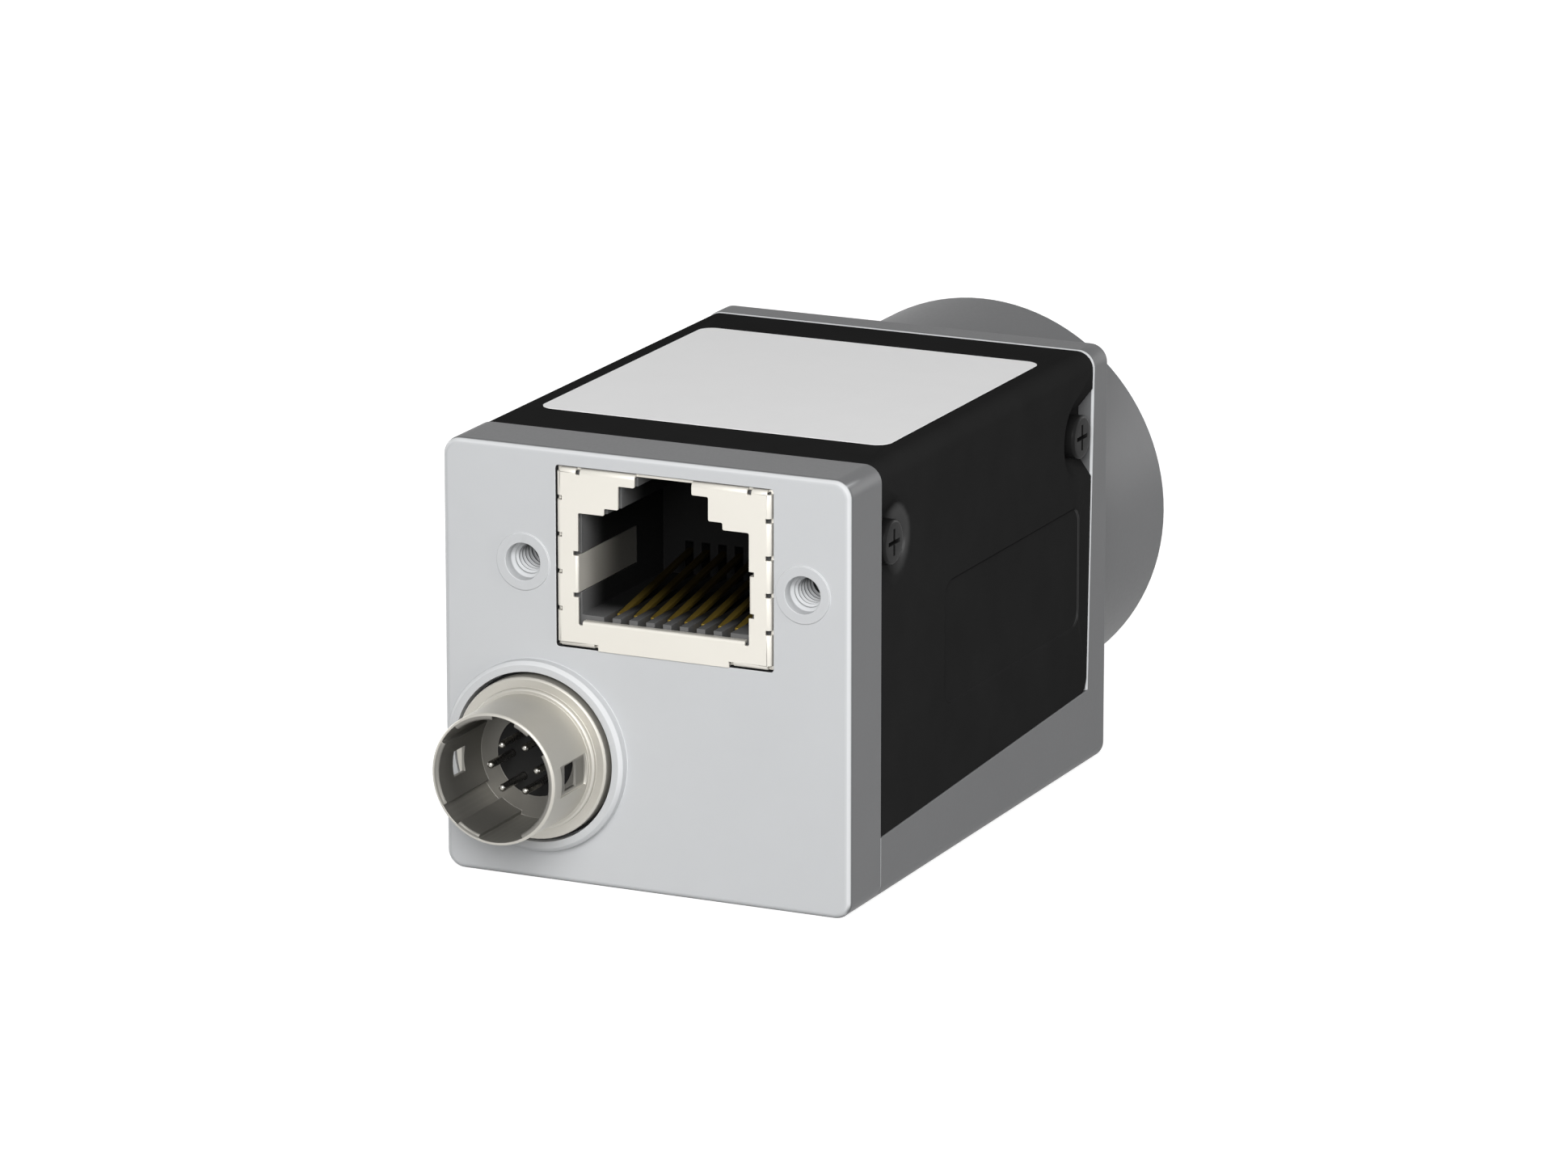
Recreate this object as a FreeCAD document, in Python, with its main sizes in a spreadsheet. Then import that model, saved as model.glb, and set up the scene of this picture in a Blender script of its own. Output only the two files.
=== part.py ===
"""Machine vision camera with a screw lens mount, a network socket and a round power connector.

Frame: the origin is the centre of the lens mount's flange face, on the optical axis. The lens
points along -Y, the connectors along +Y, and +Z is up. All sizes are in millimetres.
"""
import FreeCAD, Part
import functools
import math
import os
import re
import Sketcher
from FreeCAD import Vector

SIZES = {
    # housing, front to rear
    "body_width": 29.0,
    "body_height": 29.0,
    "body_length": 42.0,
    "edge_radius": 1.2,
    "ring_length": 11.8,
    "ring_diameter": 27.5,
    "front_plate_top": 2.64,
    "front_plate_foot": 3.36,
    "front_edge_bevel": 0.4,
    "plate_bevel": 0.17,
    "rear_plate_thickness": 4.8,
    "rear_edge_radius": 0.44,
    "tray_floor": 3.6,
    "tray_wall": 1.9,
    "tray_front_height": 5.55,
    "tray_rear_height": 4.3,
    "boss_root": 0.9,
    # cover
    "cover_wall": 1.8,
    "cover_roof": 1.0,
    "cover_inset": 0.05,
    "cover_corner_radius": 1.0,
    "wall_play": 0.1,
    "panel_front": 4.9,
    "panel_length": 22.2,
    "panel_foot": -4.0,
    "panel_height": 8.3,
    "panel_corner_radius": 1.1,
    "panel_depth": 0.1,
    # label on the cover
    "label_front": 6.94,
    "label_setback": 9.76,
    "label_side_margin": 2.0,
    "label_corner_radius": 1.05,
    "label_thickness": 0.12,
    "label_sink": 0.1,
    # cover screws and their dished seats
    "screw_drop": 5.5,
    "front_screw_setback": 4.6,
    "rear_screw_setback": 6.72,
    "screw_head_diameter": 3.0,
    "screw_head_height": 1.07,
    "screw_head_edge": 0.2,
    "screw_thread_diameter": 2.0,
    "screw_length": 4.3,
    "screw_play": 0.1,
    "cross_length": 1.76,
    "cross_width": 0.28,
    "cross_depth": 0.6,
    "dish_rim_diameter": 6.1,
    "dish_floor_diameter": 3.3,
    "lug_width": 4.8,
    "lug_thickness": 2.8,
    "lug_end": 1.85,
    # lens mount
    "lens_thread_bore": 24.6,
    "lens_thread_depth": 5.0,
    "lens_thread_entry": 0.4,
    "thread_relief_bore": 25.6,
    "thread_relief_width": 1.0,
    "holder_bore": 22.4,
    "holder_bore_depth": 4.4,
    "aperture_bore": 17.0,
    "flange_to_sensor": 17.526,
    # filter
    "holder_thickness": 3.0,
    "holder_opening": 15.4,
    "filter_diameter": 18.0,
    "filter_thickness": 1.0,
    "filter_sink": 1.4,
    "holder_slot_width": 1.2,
    "holder_slot_depth": 0.8,
    # sensor and its board
    "sensor_width": 12.0,
    "sensor_height": 11.0,
    "sensor_back": 0.9,
    "sensor_front": 1.1,
    "sensor_rim": 1.6,
    "die_width": 7.6,
    "die_height": 6.2,
    "die_thickness": 0.4,
    "window_thickness": 0.5,
    "window_margin": 0.7,
    "gasket_gap": 0.4,
    "gasket_wall": 1.3,
    "gasket_height": 2.5,
    "board_thickness": 1.0,
    "board_width": 24.6,
    "board_top": 12.2,
    "board_foot": -10.4,
    # spacers and screws of the upright boards
    "spacer_across": 17.2,
    "spacer_top": 9.6,
    "spacer_foot": -9.1,
    "spacer_diameter": 3.2,
    "spacer_length": 5.4,
    "stud_diameter": 1.6,
    "stud_length": 3.4,
    "board_screw_head": 2.8,
    "board_screw_head_height": 1.0,
    "board_screw_length": 3.6,
    "board_hole_diameter": 1.9,
    # electronics
    "link_width": 12.0,
    "link_height": 3.6,
    "link_z": -6.0,
    "chip_width": 11.0,
    "chip_height": 8.0,
    "chip_z": -5.4,
    "chip_thickness": 1.6,
    "memory_width": 8.0,
    "memory_height": 4.4,
    "memory_x": 2.4,
    "memory_z": 7.9,
    "memory_thickness": 1.0,
    "pad_thickness": 1.4,
    "rib_width": 14.0,
    "rib_thickness": 2.0,
    "rib_top": -1.0,
    # network socket
    "socket_x": -1.38,
    "cutout_width": 15.44,
    "cutout_height": 12.04,
    "cutout_foot": 1.4,
    "cutout_corner_radius": 0.2,
    "shield_width": 15.26,
    "shield_foot": 1.5,
    "shield_height": 11.88,
    "shield_depth": 16.0,
    "shield_proud": 0.15,
    "shield_sheet": 0.2,
    "shield_bend": 0.35,
    "shield_window_setback": 5.3,
    "port_half": 6.06,
    "port_foot": 3.3,
    "port_top": 10.44,
    "step_half": 4.2,
    "step_top": 10.92,
    "key_half": 3.19,
    "key_top": 12.5,
    "latch_half": 2.02,
    "port_corner_radius": 0.12,
    "port_depth": 12.6,
    "notch_width": 0.3,
    "notch_reach": 0.42,
    "notch_foot": 3.85,
    "notch_pitch": 2.45,
    "roof_notch": 6.08,
    "spring_foot": 5.14,
    "spring_height": 2.46,
    "spring_length": 8.6,
    "spring_relief": 0.36,
    "lip_half": 5.76,
    "lip_depth": 0.5,
    "flap_half": 4.65,
    "flap_drop": 0.1,
    "insert_setback": 0.55,
    "insert_play": 0.05,
    "insert_length": 15.0,
    # contacts
    "comb_top": 3.58,
    "comb_pitch": 1.2,
    "comb_slot_width": 0.6,
    "comb_slot_foot": 2.1,
    "comb_rear_top": 5.8,
    "comb_rear_length": 1.8,
    "contact_width": 0.46,
    "contact_thickness": 0.28,
    "contact_front": 2.3,
    "contact_crown": 3.4,
    "contact_rise": 1.908,
    "contact_reach": 12.9,
    "contact_tail": 13.6,
    # round connector
    "power_x": 7.7,
    "power_z": -6.03,
    "collar_diameter": 12.8,
    "collar_height": 0.85,
    "collar_edge_bevel": 0.25,
    "power_seat_diameter": 11.38,
    "power_seat_depth": 1.45,
    "flange_diameter": 10.84,
    "flange_front": 1.17,
    "flange_thickness": 1.2,
    "shoulder_diameter": 9.5,
    "shoulder_height": 0.34,
    "barrel_diameter": 8.82,
    "barrel_bore": 7.86,
    "barrel_length": 6.55,
    "barrel_edge": 0.12,
    "shell_tail_diameter": 9.2,
    "shell_tail_length": 9.6,
    "keyway_diameter": 8.4,
    "cup_depth": 6.05,
    "insulator_diameter": 5.4,
    "insulator_tail": 1.0,
    "latch_window_width": 2.1,
    "latch_window_start": 1.75,
    "latch_window_length": 3.65,
    "latch_window_depth": 0.3,
    "latch_slot_start": 1.15,
    "latch_slot_length": 1.55,
    "latch_slot_width": 1.7,
    "pin_circle": 3.34,
    "pin_diameter": 0.5,
    "pin_front": 3.75,
    "nut_diameter": 11.0,
    "nut_thickness": 1.4,
    "nut_recess_diameter": 11.3,
    "nut_recess_depth": 1.5,
    "nut_slot_width": 1.4,
    "nut_slot_depth": 0.7,
    "power_board_width": 9.6,
    "power_board_drop": 10.6,
    "header_width": 7.0,
    "header_height": 2.6,
    "header_depth": 2.6,
    # lying board
    "interface_front": 15.6,
    "interface_gap": 0.2,
    "interface_width": 24.8,
    "plug_width": 14.0,
    "plug_height": 3.0,
    "plug_depth": 4.6,
    "transformer_width": 12.6,
    "transformer_height": 5.6,
    "transformer_depth": 5.2,
    "transformer_x": -5.8,
    "transformer_setback": 3.0,
    # locking-screw threads beside the socket
    "lock_x_left": 8.68,
    "lock_x_right": -11.2,
    "lock_z": 6.77,
    "lock_boss_diameter": 3.8,
    "lock_boss_height": 0.12,
    "lock_bore": 2.05,
    "lock_mouth_diameter": 2.5,
    "lock_mouth_depth": 0.8,
    "lock_depth": 4.0,
    # mounting threads in the base
    "base_thread_bore": 2.5,
    "base_thread_depth": 3.0,
    "base_thread_spacing": 20.0,
    "base_thread_setback": 16.0,
    "foot_thread_bore": 1.6,
    "foot_thread_depth": 3.0,
    "foot_thread_across": 20.0,
    "foot_thread_along": 22.0,
    "foot_thread_setback": 7.0,
}
# each keyway of the round connector: first and last angle in degrees, from -X towards +Z
KEYWAYS = ((29.6, 52.0), (67.7, 90.4), (130.0, 150.5), (211.0, 232.0), (255.3, 299.6))
CONTACT_COUNT = 8
PIN_COUNT = 6
NOTCH_COUNT = 4
PAIR_COUNT = 2
HEXAGON_COUNT = 6
EDGE_TOLERANCE = 1e-4

doc = FreeCAD.newDocument("machine_vision_camera")
sheet = doc.addObject("Spreadsheet::Sheet", "sizes")
for row, (alias, value) in enumerate(SIZES.items(), start=1):
    sheet.set("A%d" % row, alias)
    sheet.set("B%d" % row, "%g" % value)
    sheet.setAlias("B%d" % row, alias)
doc.recompute()

WORD = re.compile(r"[A-Za-z_][A-Za-z_0-9]*")


def linked(text):
    """Expression on the sheet for a sum of size names."""
    def tied(found):
        word = found.group(0)
        return "sizes." + word if word in SIZES else word
    return WORD.sub(tied, text)


@functools.lru_cache(maxsize=None)
def size(text):
    """Value of a sum of size names."""
    return float(sheet.evalExpression(linked(text)))


# planes of a body's own origin, with the world direction of each sketch's normal
FRONT = "XZ_Plane"
SIDE = "YZ_Plane"
FLAT = "XY_Plane"
NORMAL_SIGN = {FRONT: -1, SIDE: 1, FLAT: 1}

# places that several pieces share
PLATE_FRONT = "ring_length"
COVER_FRONT = "(ring_length + front_plate_top)"
COVER_FOOT_FRONT = "(ring_length + front_plate_foot)"
REAR_PLATE_FRONT = "(ring_length + body_length - rear_plate_thickness)"
REAR_FACE = "(ring_length + body_length)"
HALF_WIDTH = "(body_width / 2)"
HALF_HEIGHT = "(body_height / 2)"
FLOOR_TOP = "(tray_floor - body_height / 2)"
TRAY_FRONT_EDGE = "(tray_front_height - body_height / 2)"
TRAY_REAR_EDGE = "(tray_rear_height - body_height / 2)"
COVER_INSIDE = "(body_width / 2 - cover_inset - cover_wall)"
SCREW_HEIGHT = "(body_height / 2 - screw_drop)"
FRONT_SCREW_Y = "(ring_length + front_screw_setback)"
REAR_SCREW_Y = "(ring_length + body_length - rear_screw_setback)"
BOARD_FRONT = "(flange_to_sensor + sensor_back)"
SECOND_BOARD_FRONT = "(flange_to_sensor + sensor_back + board_thickness + spacer_length)"
SECOND_BOARD_BACK = "(flange_to_sensor + sensor_back + 2 * board_thickness + spacer_length)"
HOLDER_BACK = "(lens_thread_depth + thread_relief_width + holder_bore_depth)"
LABEL_HALF = "(body_width / 2 - label_side_margin)"
LABEL_FRONT = "(ring_length + label_front)"
LABEL_REAR = "(ring_length + body_length - label_setback)"
SHIELD_FRONT = "(ring_length + body_length + shield_proud)"
LYING_BOARD_FRONT = "(ring_length + interface_front)"
LYING_BOARD_FOOT = "(shield_foot - board_thickness)"
RIB_FRONT = "(%s + chip_thickness + pad_thickness)" % SECOND_BOARD_BACK
POWER_SEAT = "(ring_length + body_length + collar_height - power_seat_depth)"
FLANGE_BACK = "(ring_length + body_length + flange_front - flange_thickness)"
FLANGE_FACE = "(ring_length + body_length + flange_front)"
BARREL_END = "(ring_length + body_length + barrel_length)"
SHELL_TAIL = "(ring_length + body_length + flange_front - flange_thickness - shell_tail_length)"
SHIELD_BACK = "(ring_length + body_length + shield_proud - shield_depth)"
SHIELD_TOP = "(shield_foot + shield_height)"
INSERT_FRONT = "(ring_length + body_length + shield_proud - insert_setback)"
CUP_FLOOR = "(ring_length + body_length + barrel_length - cup_depth)"
FIRST_CONTACT = "(socket_x - %g * comb_pitch)" % ((CONTACT_COUNT - 1) / 2)
CORE_TAIL = "(%s - insulator_tail)" % SHELL_TAIL


class Piece:
    """One body of the camera, grown feature by feature from sketches tied to the sizes."""

    def __init__(self, label):
        self.body = doc.addObject("PartDesign::Body", label)
        self.body.Label = label
        self.count = 0

    def name(self, word):
        """Next feature name of this piece."""
        self.count += 1
        return "%s_%s_%d" % (self.body.Name, word, self.count)

    def sketch(self, plane, across="0", up="0", out="0"):
        """Sketch on an origin plane, its zero moved across, up and along the plane's normal."""
        made = self.body.newObject("Sketcher::SketchObject", self.name("sketch"))
        support = [part for part in self.body.Origin.OriginFeatures if part.Role == plane][0]
        made.AttachmentSupport = [(support, "")]
        made.MapMode = "FlatFace"
        for axis, text in (("x", across), ("y", up), ("z", out)):
            if text != "0":
                made.setExpression(".AttachmentOffset.Base." + axis, linked(text))
        return made

    def at(self, plane, where, across="0", up="0"):
        """Sketch at a world coordinate along the plane's normal."""
        out = where if NORMAL_SIGN[plane] > 0 else "-(%s)" % where
        return self.sketch(plane, across, up, out)

    def grow(self, sketch, length, toward=1, both=False):
        """Pad toward the world's plus or minus side, or half to each side."""
        made = self.body.newObject("PartDesign::Pad", self.name("pad"))
        self.stretch(made, sketch, length, toward, both, NORMAL_SIGN)
        return made

    def cut(self, sketch, length, toward=1, both=False):
        """Pocket toward the world's plus or minus side; it must take material away."""
        doc.recompute()
        before = self.body.Shape.Volume
        made = self.body.newObject("PartDesign::Pocket", self.name("pocket"))
        against = {plane: -sign for plane, sign in NORMAL_SIGN.items()}
        self.stretch(made, sketch, length, toward, both, against)
        doc.recompute()
        if not self.body.Shape.Volume < before:
            raise RuntimeError("%s cuts nothing" % made.Name)
        return made

    def stretch(self, made, sketch, length, toward, both, signs):
        """Length, side and direction of a pad or a pocket."""
        role = sketch.AttachmentSupport[0][0].Role
        made.Profile = sketch
        made.setExpression("Length", linked(length))
        made.SideType = "Symmetric" if both else "One side"
        made.Reversed = signs[role] * toward < 0
        sketch.Visibility = False

    def turn(self, sketch, cutting=False):
        """Full turn of a sketch about its own horizontal axis."""
        kind = "PartDesign::Groove" if cutting else "PartDesign::Revolution"
        doc.recompute()
        before = self.body.Shape.Volume if cutting else 0
        made = self.body.newObject(kind, self.name("turn"))
        made.Profile = sketch
        made.ReferenceAxis = (sketch, ["H_Axis"])
        made.Angle = 360
        doc.recompute()
        if cutting and not self.body.Shape.Volume < before:
            raise RuntimeError("%s cuts nothing: %s %s" % (made.Name, made.State, before))
        return made

    def edges(self, test):
        """Names of the edges whose ends and middle all pass a test on the point."""
        doc.recompute()
        names = []
        for number, edge in enumerate(self.body.Shape.Edges, start=1):
            first, last = edge.ParameterRange
            points = [edge.valueAt(first + share * (last - first)) for share in (0, 0.25, 0.5, 0.75, 1)]
            if all(test(point) for point in points):
                names.append("Edge%d" % number)
        if not names:
            raise RuntimeError("%s has no edge that fits" % self.body.Name)
        return names

    def round(self, test, radius):
        """Fillet of the edges that pass the test."""
        names = self.edges(test)
        base = self.body.Tip
        made = self.body.newObject("PartDesign::Fillet", self.name("fillet"))
        made.Base = (base, names)
        made.setExpression("Radius", linked(radius))
        return made

    def bevel(self, test, width):
        """Chamfer of the edges that pass the test."""
        names = self.edges(test)
        base = self.body.Tip
        made = self.body.newObject("PartDesign::Chamfer", self.name("chamfer"))
        made.Base = (base, names)
        made.setExpression("Size", linked(width))
        return made

    def mirror(self, features, plane=SIDE):
        """The same features on the other side of an origin plane."""
        made = self.body.newObject("PartDesign::Mirrored", self.name("mirror"))
        support = [part for part in self.body.Origin.OriginFeatures if part.Role == plane][0]
        made.Originals = features
        made.MirrorPlane = (support, [""])
        self.body.Tip = made
        return made

    def row(self, features, axis, spacing, count):
        """The same features again along an origin axis."""
        made = self.body.newObject("PartDesign::LinearPattern", self.name("row"))
        support = [part for part in self.body.Origin.OriginFeatures if part.Role == axis][0]
        made.Originals = features
        made.Direction = (support, [""])
        made.Mode = "Spacing"
        made.setExpression("Offset", linked(spacing))
        made.Occurrences = count
        self.body.Tip = made
        return made

    def whole_row(self, axis, spacing, count):
        """The whole piece again along an origin axis."""
        made = self.row([], axis, spacing, count)
        made.TransformMode = "Whole shape"
        doc.recompute()
        return made

    def whole_mirror(self, plane):
        """The whole piece again on the other side of an origin plane."""
        made = self.mirror([], plane)
        made.TransformMode = "Whole shape"
        doc.recompute()
        return made

    def ring(self, features, sketch, count):
        """The same features again round the normal of a sketch."""
        made = self.body.newObject("PartDesign::PolarPattern", self.name("ring"))
        made.Originals = features
        made.Axis = (sketch, ["N_Axis"])
        made.Angle = 360
        made.Occurrences = count
        self.body.Tip = made
        return made


def hold(sketch, geometry, position, across, up):
    """Fix one point of a sketch by its two distances from the sketch's zero."""
    for kind, text in (("DistanceX", across), ("DistanceY", up)):
        index = sketch.addConstraint(Sketcher.Constraint(kind, -1, 1, geometry, position, size(text)))
        sketch.setExpression("Constraints[%d]" % index, linked(text))


def polygon(sketch, corners):
    """Closed outline with a straight run between each corner and the next."""
    points = [Vector(size(across), size(up), 0) for across, up in corners]
    lines = []
    for start, end in zip(points, points[1:] + points[:1]):
        lines.append(sketch.addGeometry(Part.LineSegment(start, end)))
    for this, following in zip(lines, lines[1:] + lines[:1]):
        sketch.addConstraint(Sketcher.Constraint("Coincident", this, 2, following, 1))
    for line, (across, up) in zip(lines, corners):
        hold(sketch, line, 1, across, up)
    return sketch


def rectangle(sketch, left, right, foot, top):
    """Closed outline of a rectangle."""
    return polygon(sketch, [(left, foot), (right, foot), (right, top), (left, top)])


def circle(sketch, across, up, radius):
    """Full circle."""
    centre = Vector(size(across), size(up), 0)
    round_ = sketch.addGeometry(Part.Circle(centre, Vector(0, 0, 1), size(radius)))
    index = sketch.addConstraint(Sketcher.Constraint("Radius", round_, size(radius)))
    sketch.setExpression("Constraints[%d]" % index, linked(radius))
    hold(sketch, round_, 3, across, up)
    return sketch


def hexagon(sketch, flat):
    """Hexagon about the sketch's zero from the distance of its flats."""
    step = 360 // HEXAGON_COUNT
    reach = "(%s) / cos(%g)" % (flat, step / 2)
    return polygon(sketch, [("%s * cos(%d)" % (reach, turn * step), "%s * sin(%d)" % (reach, turn * step))
                            for turn in range(HEXAGON_COUNT)])


def near(value, text):
    """True if a coordinate lies at a place given by the sizes."""
    return abs(value - size(text)) < EDGE_TOLERANCE


def front_housing():
    """Lens ring, front plate and bottom tray, cast as one."""
    piece = Piece("front_housing")
    profile = piece.sketch(SIDE)
    polygon(profile, [
        (PLATE_FRONT, "-" + HALF_HEIGHT),
        (REAR_PLATE_FRONT, "-" + HALF_HEIGHT),
        (REAR_PLATE_FRONT, TRAY_REAR_EDGE),
        (COVER_FOOT_FRONT, TRAY_FRONT_EDGE),
        (COVER_FRONT, HALF_HEIGHT),
        (PLATE_FRONT, HALF_HEIGHT),
    ])
    piece.grow(profile, "body_width", both=True)
    hollow = piece.at(FLAT, FLOOR_TOP)
    inner = HALF_WIDTH + " - tray_wall"
    rectangle(hollow, "-(%s)" % inner, inner, COVER_FOOT_FRONT + " + plate_bevel", REAR_PLATE_FRONT)
    piece.cut(hollow, "body_height", toward=1)
    piece.round(long_corner, "edge_radius")
    piece.bevel(plate_rear_rim, "plate_bevel")
    piece.bevel(plate_front_rim, "front_edge_bevel")
    ring = piece.sketch(FRONT)
    circle(ring, "0", "0", "ring_diameter / 2")
    piece.grow(ring, "ring_length + boss_root", toward=1)
    inner_bosses(piece)
    bore = piece.sketch(SIDE)
    polygon(bore, [
        ("0", "0"),
        ("0", "lens_thread_bore / 2 + lens_thread_entry"),
        ("lens_thread_entry", "lens_thread_bore / 2"),
        ("lens_thread_depth", "lens_thread_bore / 2"),
        ("lens_thread_depth", "thread_relief_bore / 2"),
        ("lens_thread_depth + thread_relief_width", "thread_relief_bore / 2"),
        ("lens_thread_depth + thread_relief_width", "holder_bore / 2"),
        (HOLDER_BACK, "holder_bore / 2"),
        (HOLDER_BACK, "aperture_bore / 2"),
        (BOARD_FRONT, "aperture_bore / 2"),
        (BOARD_FRONT, "0"),
    ])
    piece.turn(bore, cutting=True)
    housing_holes(piece)
    return piece


def inner_bosses(piece):
    """Gasket seat, screw lugs, spacer bosses and the heat rib inside the housing."""
    root = COVER_FRONT + " - boss_root"
    seat = piece.at(FRONT, root)
    reach = "(sensor_width / 2 + gasket_gap + gasket_wall + gasket_gap)"
    rectangle(seat, "-" + reach, reach, "-" + reach, reach)
    piece.grow(seat, "%s - gasket_height - (%s)" % (BOARD_FRONT, root), toward=1)
    for side in (1, -1):
        lug = piece.at(FRONT, root)
        ends = ["%d * (%s - wall_play)" % (side, COVER_INSIDE),
                "%d * (%s - lug_thickness)" % (side, COVER_INSIDE)]
        rectangle(lug, ends[0], ends[1],
                  SCREW_HEIGHT + " - lug_width / 2", SCREW_HEIGHT + " + lug_width / 2")
        piece.grow(lug, "%s + lug_end - (%s)" % (FRONT_SCREW_Y, root), toward=1)
    for across, up in spacer_places():
        boss = piece.at(FRONT, root)
        circle(boss, across, up, "spacer_diameter / 2")
        piece.grow(boss, "%s - (%s)" % (BOARD_FRONT, root), toward=1)
    rib = piece.at(FLAT, FLOOR_TOP + " - boss_root")
    rectangle(rib, "-rib_width / 2", "rib_width / 2", RIB_FRONT, RIB_FRONT + " + rib_thickness")
    piece.grow(rib, "rib_top - (%s - boss_root)" % FLOOR_TOP, toward=1)


def housing_holes(piece):
    """Threaded holes of the housing, drawn at the size of their bores."""
    studs = piece.at(FRONT, BOARD_FRONT)
    for across, up in spacer_places():
        circle(studs, across, up, "stud_diameter / 2")
    piece.cut(studs, "stud_length - board_thickness + screw_play", toward=-1)
    side = piece.at(SIDE, "-" + COVER_INSIDE)
    circle(side, FRONT_SCREW_Y, SCREW_HEIGHT, "screw_thread_diameter / 2")
    hole = piece.cut(side, "lug_thickness + wall_play", toward=1)
    piece.mirror([hole])
    base = piece.at(FLAT, "-" + HALF_HEIGHT)
    for across in ("-base_thread_spacing / 2", "base_thread_spacing / 2"):
        circle(base, across, PLATE_FRONT + " + base_thread_setback", "base_thread_bore / 2")
    piece.cut(base, "base_thread_depth", toward=1)
    feet = piece.at(FLAT, "-" + HALF_HEIGHT)
    for across in ("-foot_thread_across / 2", "foot_thread_across / 2"):
        for along in ("foot_thread_setback", "foot_thread_setback + foot_thread_along"):
            circle(feet, across, PLATE_FRONT + " + " + along, "foot_thread_bore / 2")
    piece.cut(feet, "foot_thread_depth", toward=1)


def spacer_places():
    """Centres of the four spacers, across and up."""
    levels = ("spacer_foot", "spacer_top")
    return [(side + "spacer_across / 2", level) for level in levels for side in ("-", "")]


def long_corner(point):
    """True on the four long edges of the square outline."""
    return near(abs(point.x), HALF_WIDTH) and near(abs(point.z), HALF_HEIGHT)


def on_outline(point):
    """True within half the corner radius of the camera's square outline."""
    beyond = max(abs(point.x) - size(HALF_WIDTH), abs(point.z) - size(HALF_HEIGHT))
    return beyond > -size("edge_radius / 2")


def plate_rear_rim(point):
    """True on the outer edge of the front plate's sloping rear face, above the ledges."""
    start, end = size(TRAY_FRONT_EDGE), size(HALF_HEIGHT)
    share = (point.z - start) / (end - start)
    level = size(COVER_FOOT_FRONT) + share * (size(COVER_FRONT) - size(COVER_FOOT_FRONT))
    return on_outline(point) and abs(point.y - level) < EDGE_TOLERANCE


def plate_front_rim(point):
    """True on the outline of the front plate's front face."""
    return on_outline(point) and near(point.y, PLATE_FRONT)


def u_outline(sketch, centre, radius, open_end):
    """U-shaped outline: a half circle about the screw, run straight on to the open end."""
    middle = Vector(size(centre), size(SCREW_HEIGHT), 0)
    reach = size(radius)
    end = size(open_end)
    turn = math.pi / 2 if end > middle.x else -math.pi / 2
    full = Part.Circle(middle, Vector(0, 0, 1), reach)
    bend = sketch.addGeometry(Part.ArcOfCircle(full, turn, turn + math.pi))
    first, last = [full.value(angle) for angle in (turn, turn + math.pi)]
    sides = [(last, Vector(end, last.y, 0)), (Vector(end, last.y, 0), Vector(end, first.y, 0)),
             (Vector(end, first.y, 0), first)]
    lines = [sketch.addGeometry(Part.LineSegment(start, stop)) for start, stop in sides]
    loop = [bend] + lines
    for this, following in zip(loop, loop[1:] + loop[:1]):
        sketch.addConstraint(Sketcher.Constraint("Coincident", this, 2, following, 1))
    for line in (lines[0], lines[2]):
        sketch.addConstraint(Sketcher.Constraint("Horizontal", line))
    hold(sketch, bend, 3, centre, SCREW_HEIGHT)
    index = sketch.addConstraint(Sketcher.Constraint("Radius", bend, reach))
    sketch.setExpression("Constraints[%d]" % index, linked(radius))
    for position in (1, 2):
        sketch.addConstraint(Sketcher.Constraint("Vertical", bend, position, bend, 3))
    index = sketch.addConstraint(Sketcher.Constraint("DistanceX", -1, 1, lines[1], 1, end))
    sketch.setExpression("Constraints[%d]" % index, linked(open_end))
    sketch.addConstraint(Sketcher.Constraint("Vertical", lines[1]))
    return sketch


def top_cover():
    """Black cover: roof and both sides in one, with dished seats for four screws."""
    piece = Piece("top_cover")
    profile = piece.sketch(SIDE)
    top = HALF_HEIGHT + " - cover_inset"
    lean = "(front_plate_foot - front_plate_top) / (body_height - tray_front_height)"
    polygon(profile, [
        (COVER_FOOT_FRONT, TRAY_FRONT_EDGE),
        (REAR_PLATE_FRONT, TRAY_REAR_EDGE),
        (REAR_PLATE_FRONT, top),
        ("%s + cover_inset * %s" % (COVER_FRONT, lean), top),
    ])
    piece.grow(profile, "body_width - 2 * cover_inset", both=True)
    hollow = piece.at(FRONT, PLATE_FRONT)
    rectangle(hollow, "-" + COVER_INSIDE, COVER_INSIDE, "-" + HALF_HEIGHT, HALF_HEIGHT + " - cover_roof")
    piece.cut(hollow, "body_length", toward=1)
    side = HALF_WIDTH + " - cover_inset"
    piece.round(lambda point: near(abs(point.x), side) and near(point.z, top), "edge_radius")
    piece.round(lambda point: near(point.y, COVER_FOOT_FRONT) and near(point.z, TRAY_FRONT_EDGE),
                "cover_corner_radius")
    for centre, open_end in ((FRONT_SCREW_Y, PLATE_FRONT), (REAR_SCREW_Y, REAR_FACE)):
        dish = screw_dish(piece, centre, open_end)
        piece.mirror([dish])
        hole = piece.at(SIDE, "-" + HALF_WIDTH)
        circle(hole, centre, SCREW_HEIGHT, "screw_thread_diameter / 2 + screw_play")
        cut = piece.cut(hole, "cover_inset + cover_wall + wall_play", toward=1)
        piece.mirror([cut])
    sunk_panel(piece)
    return piece


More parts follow.
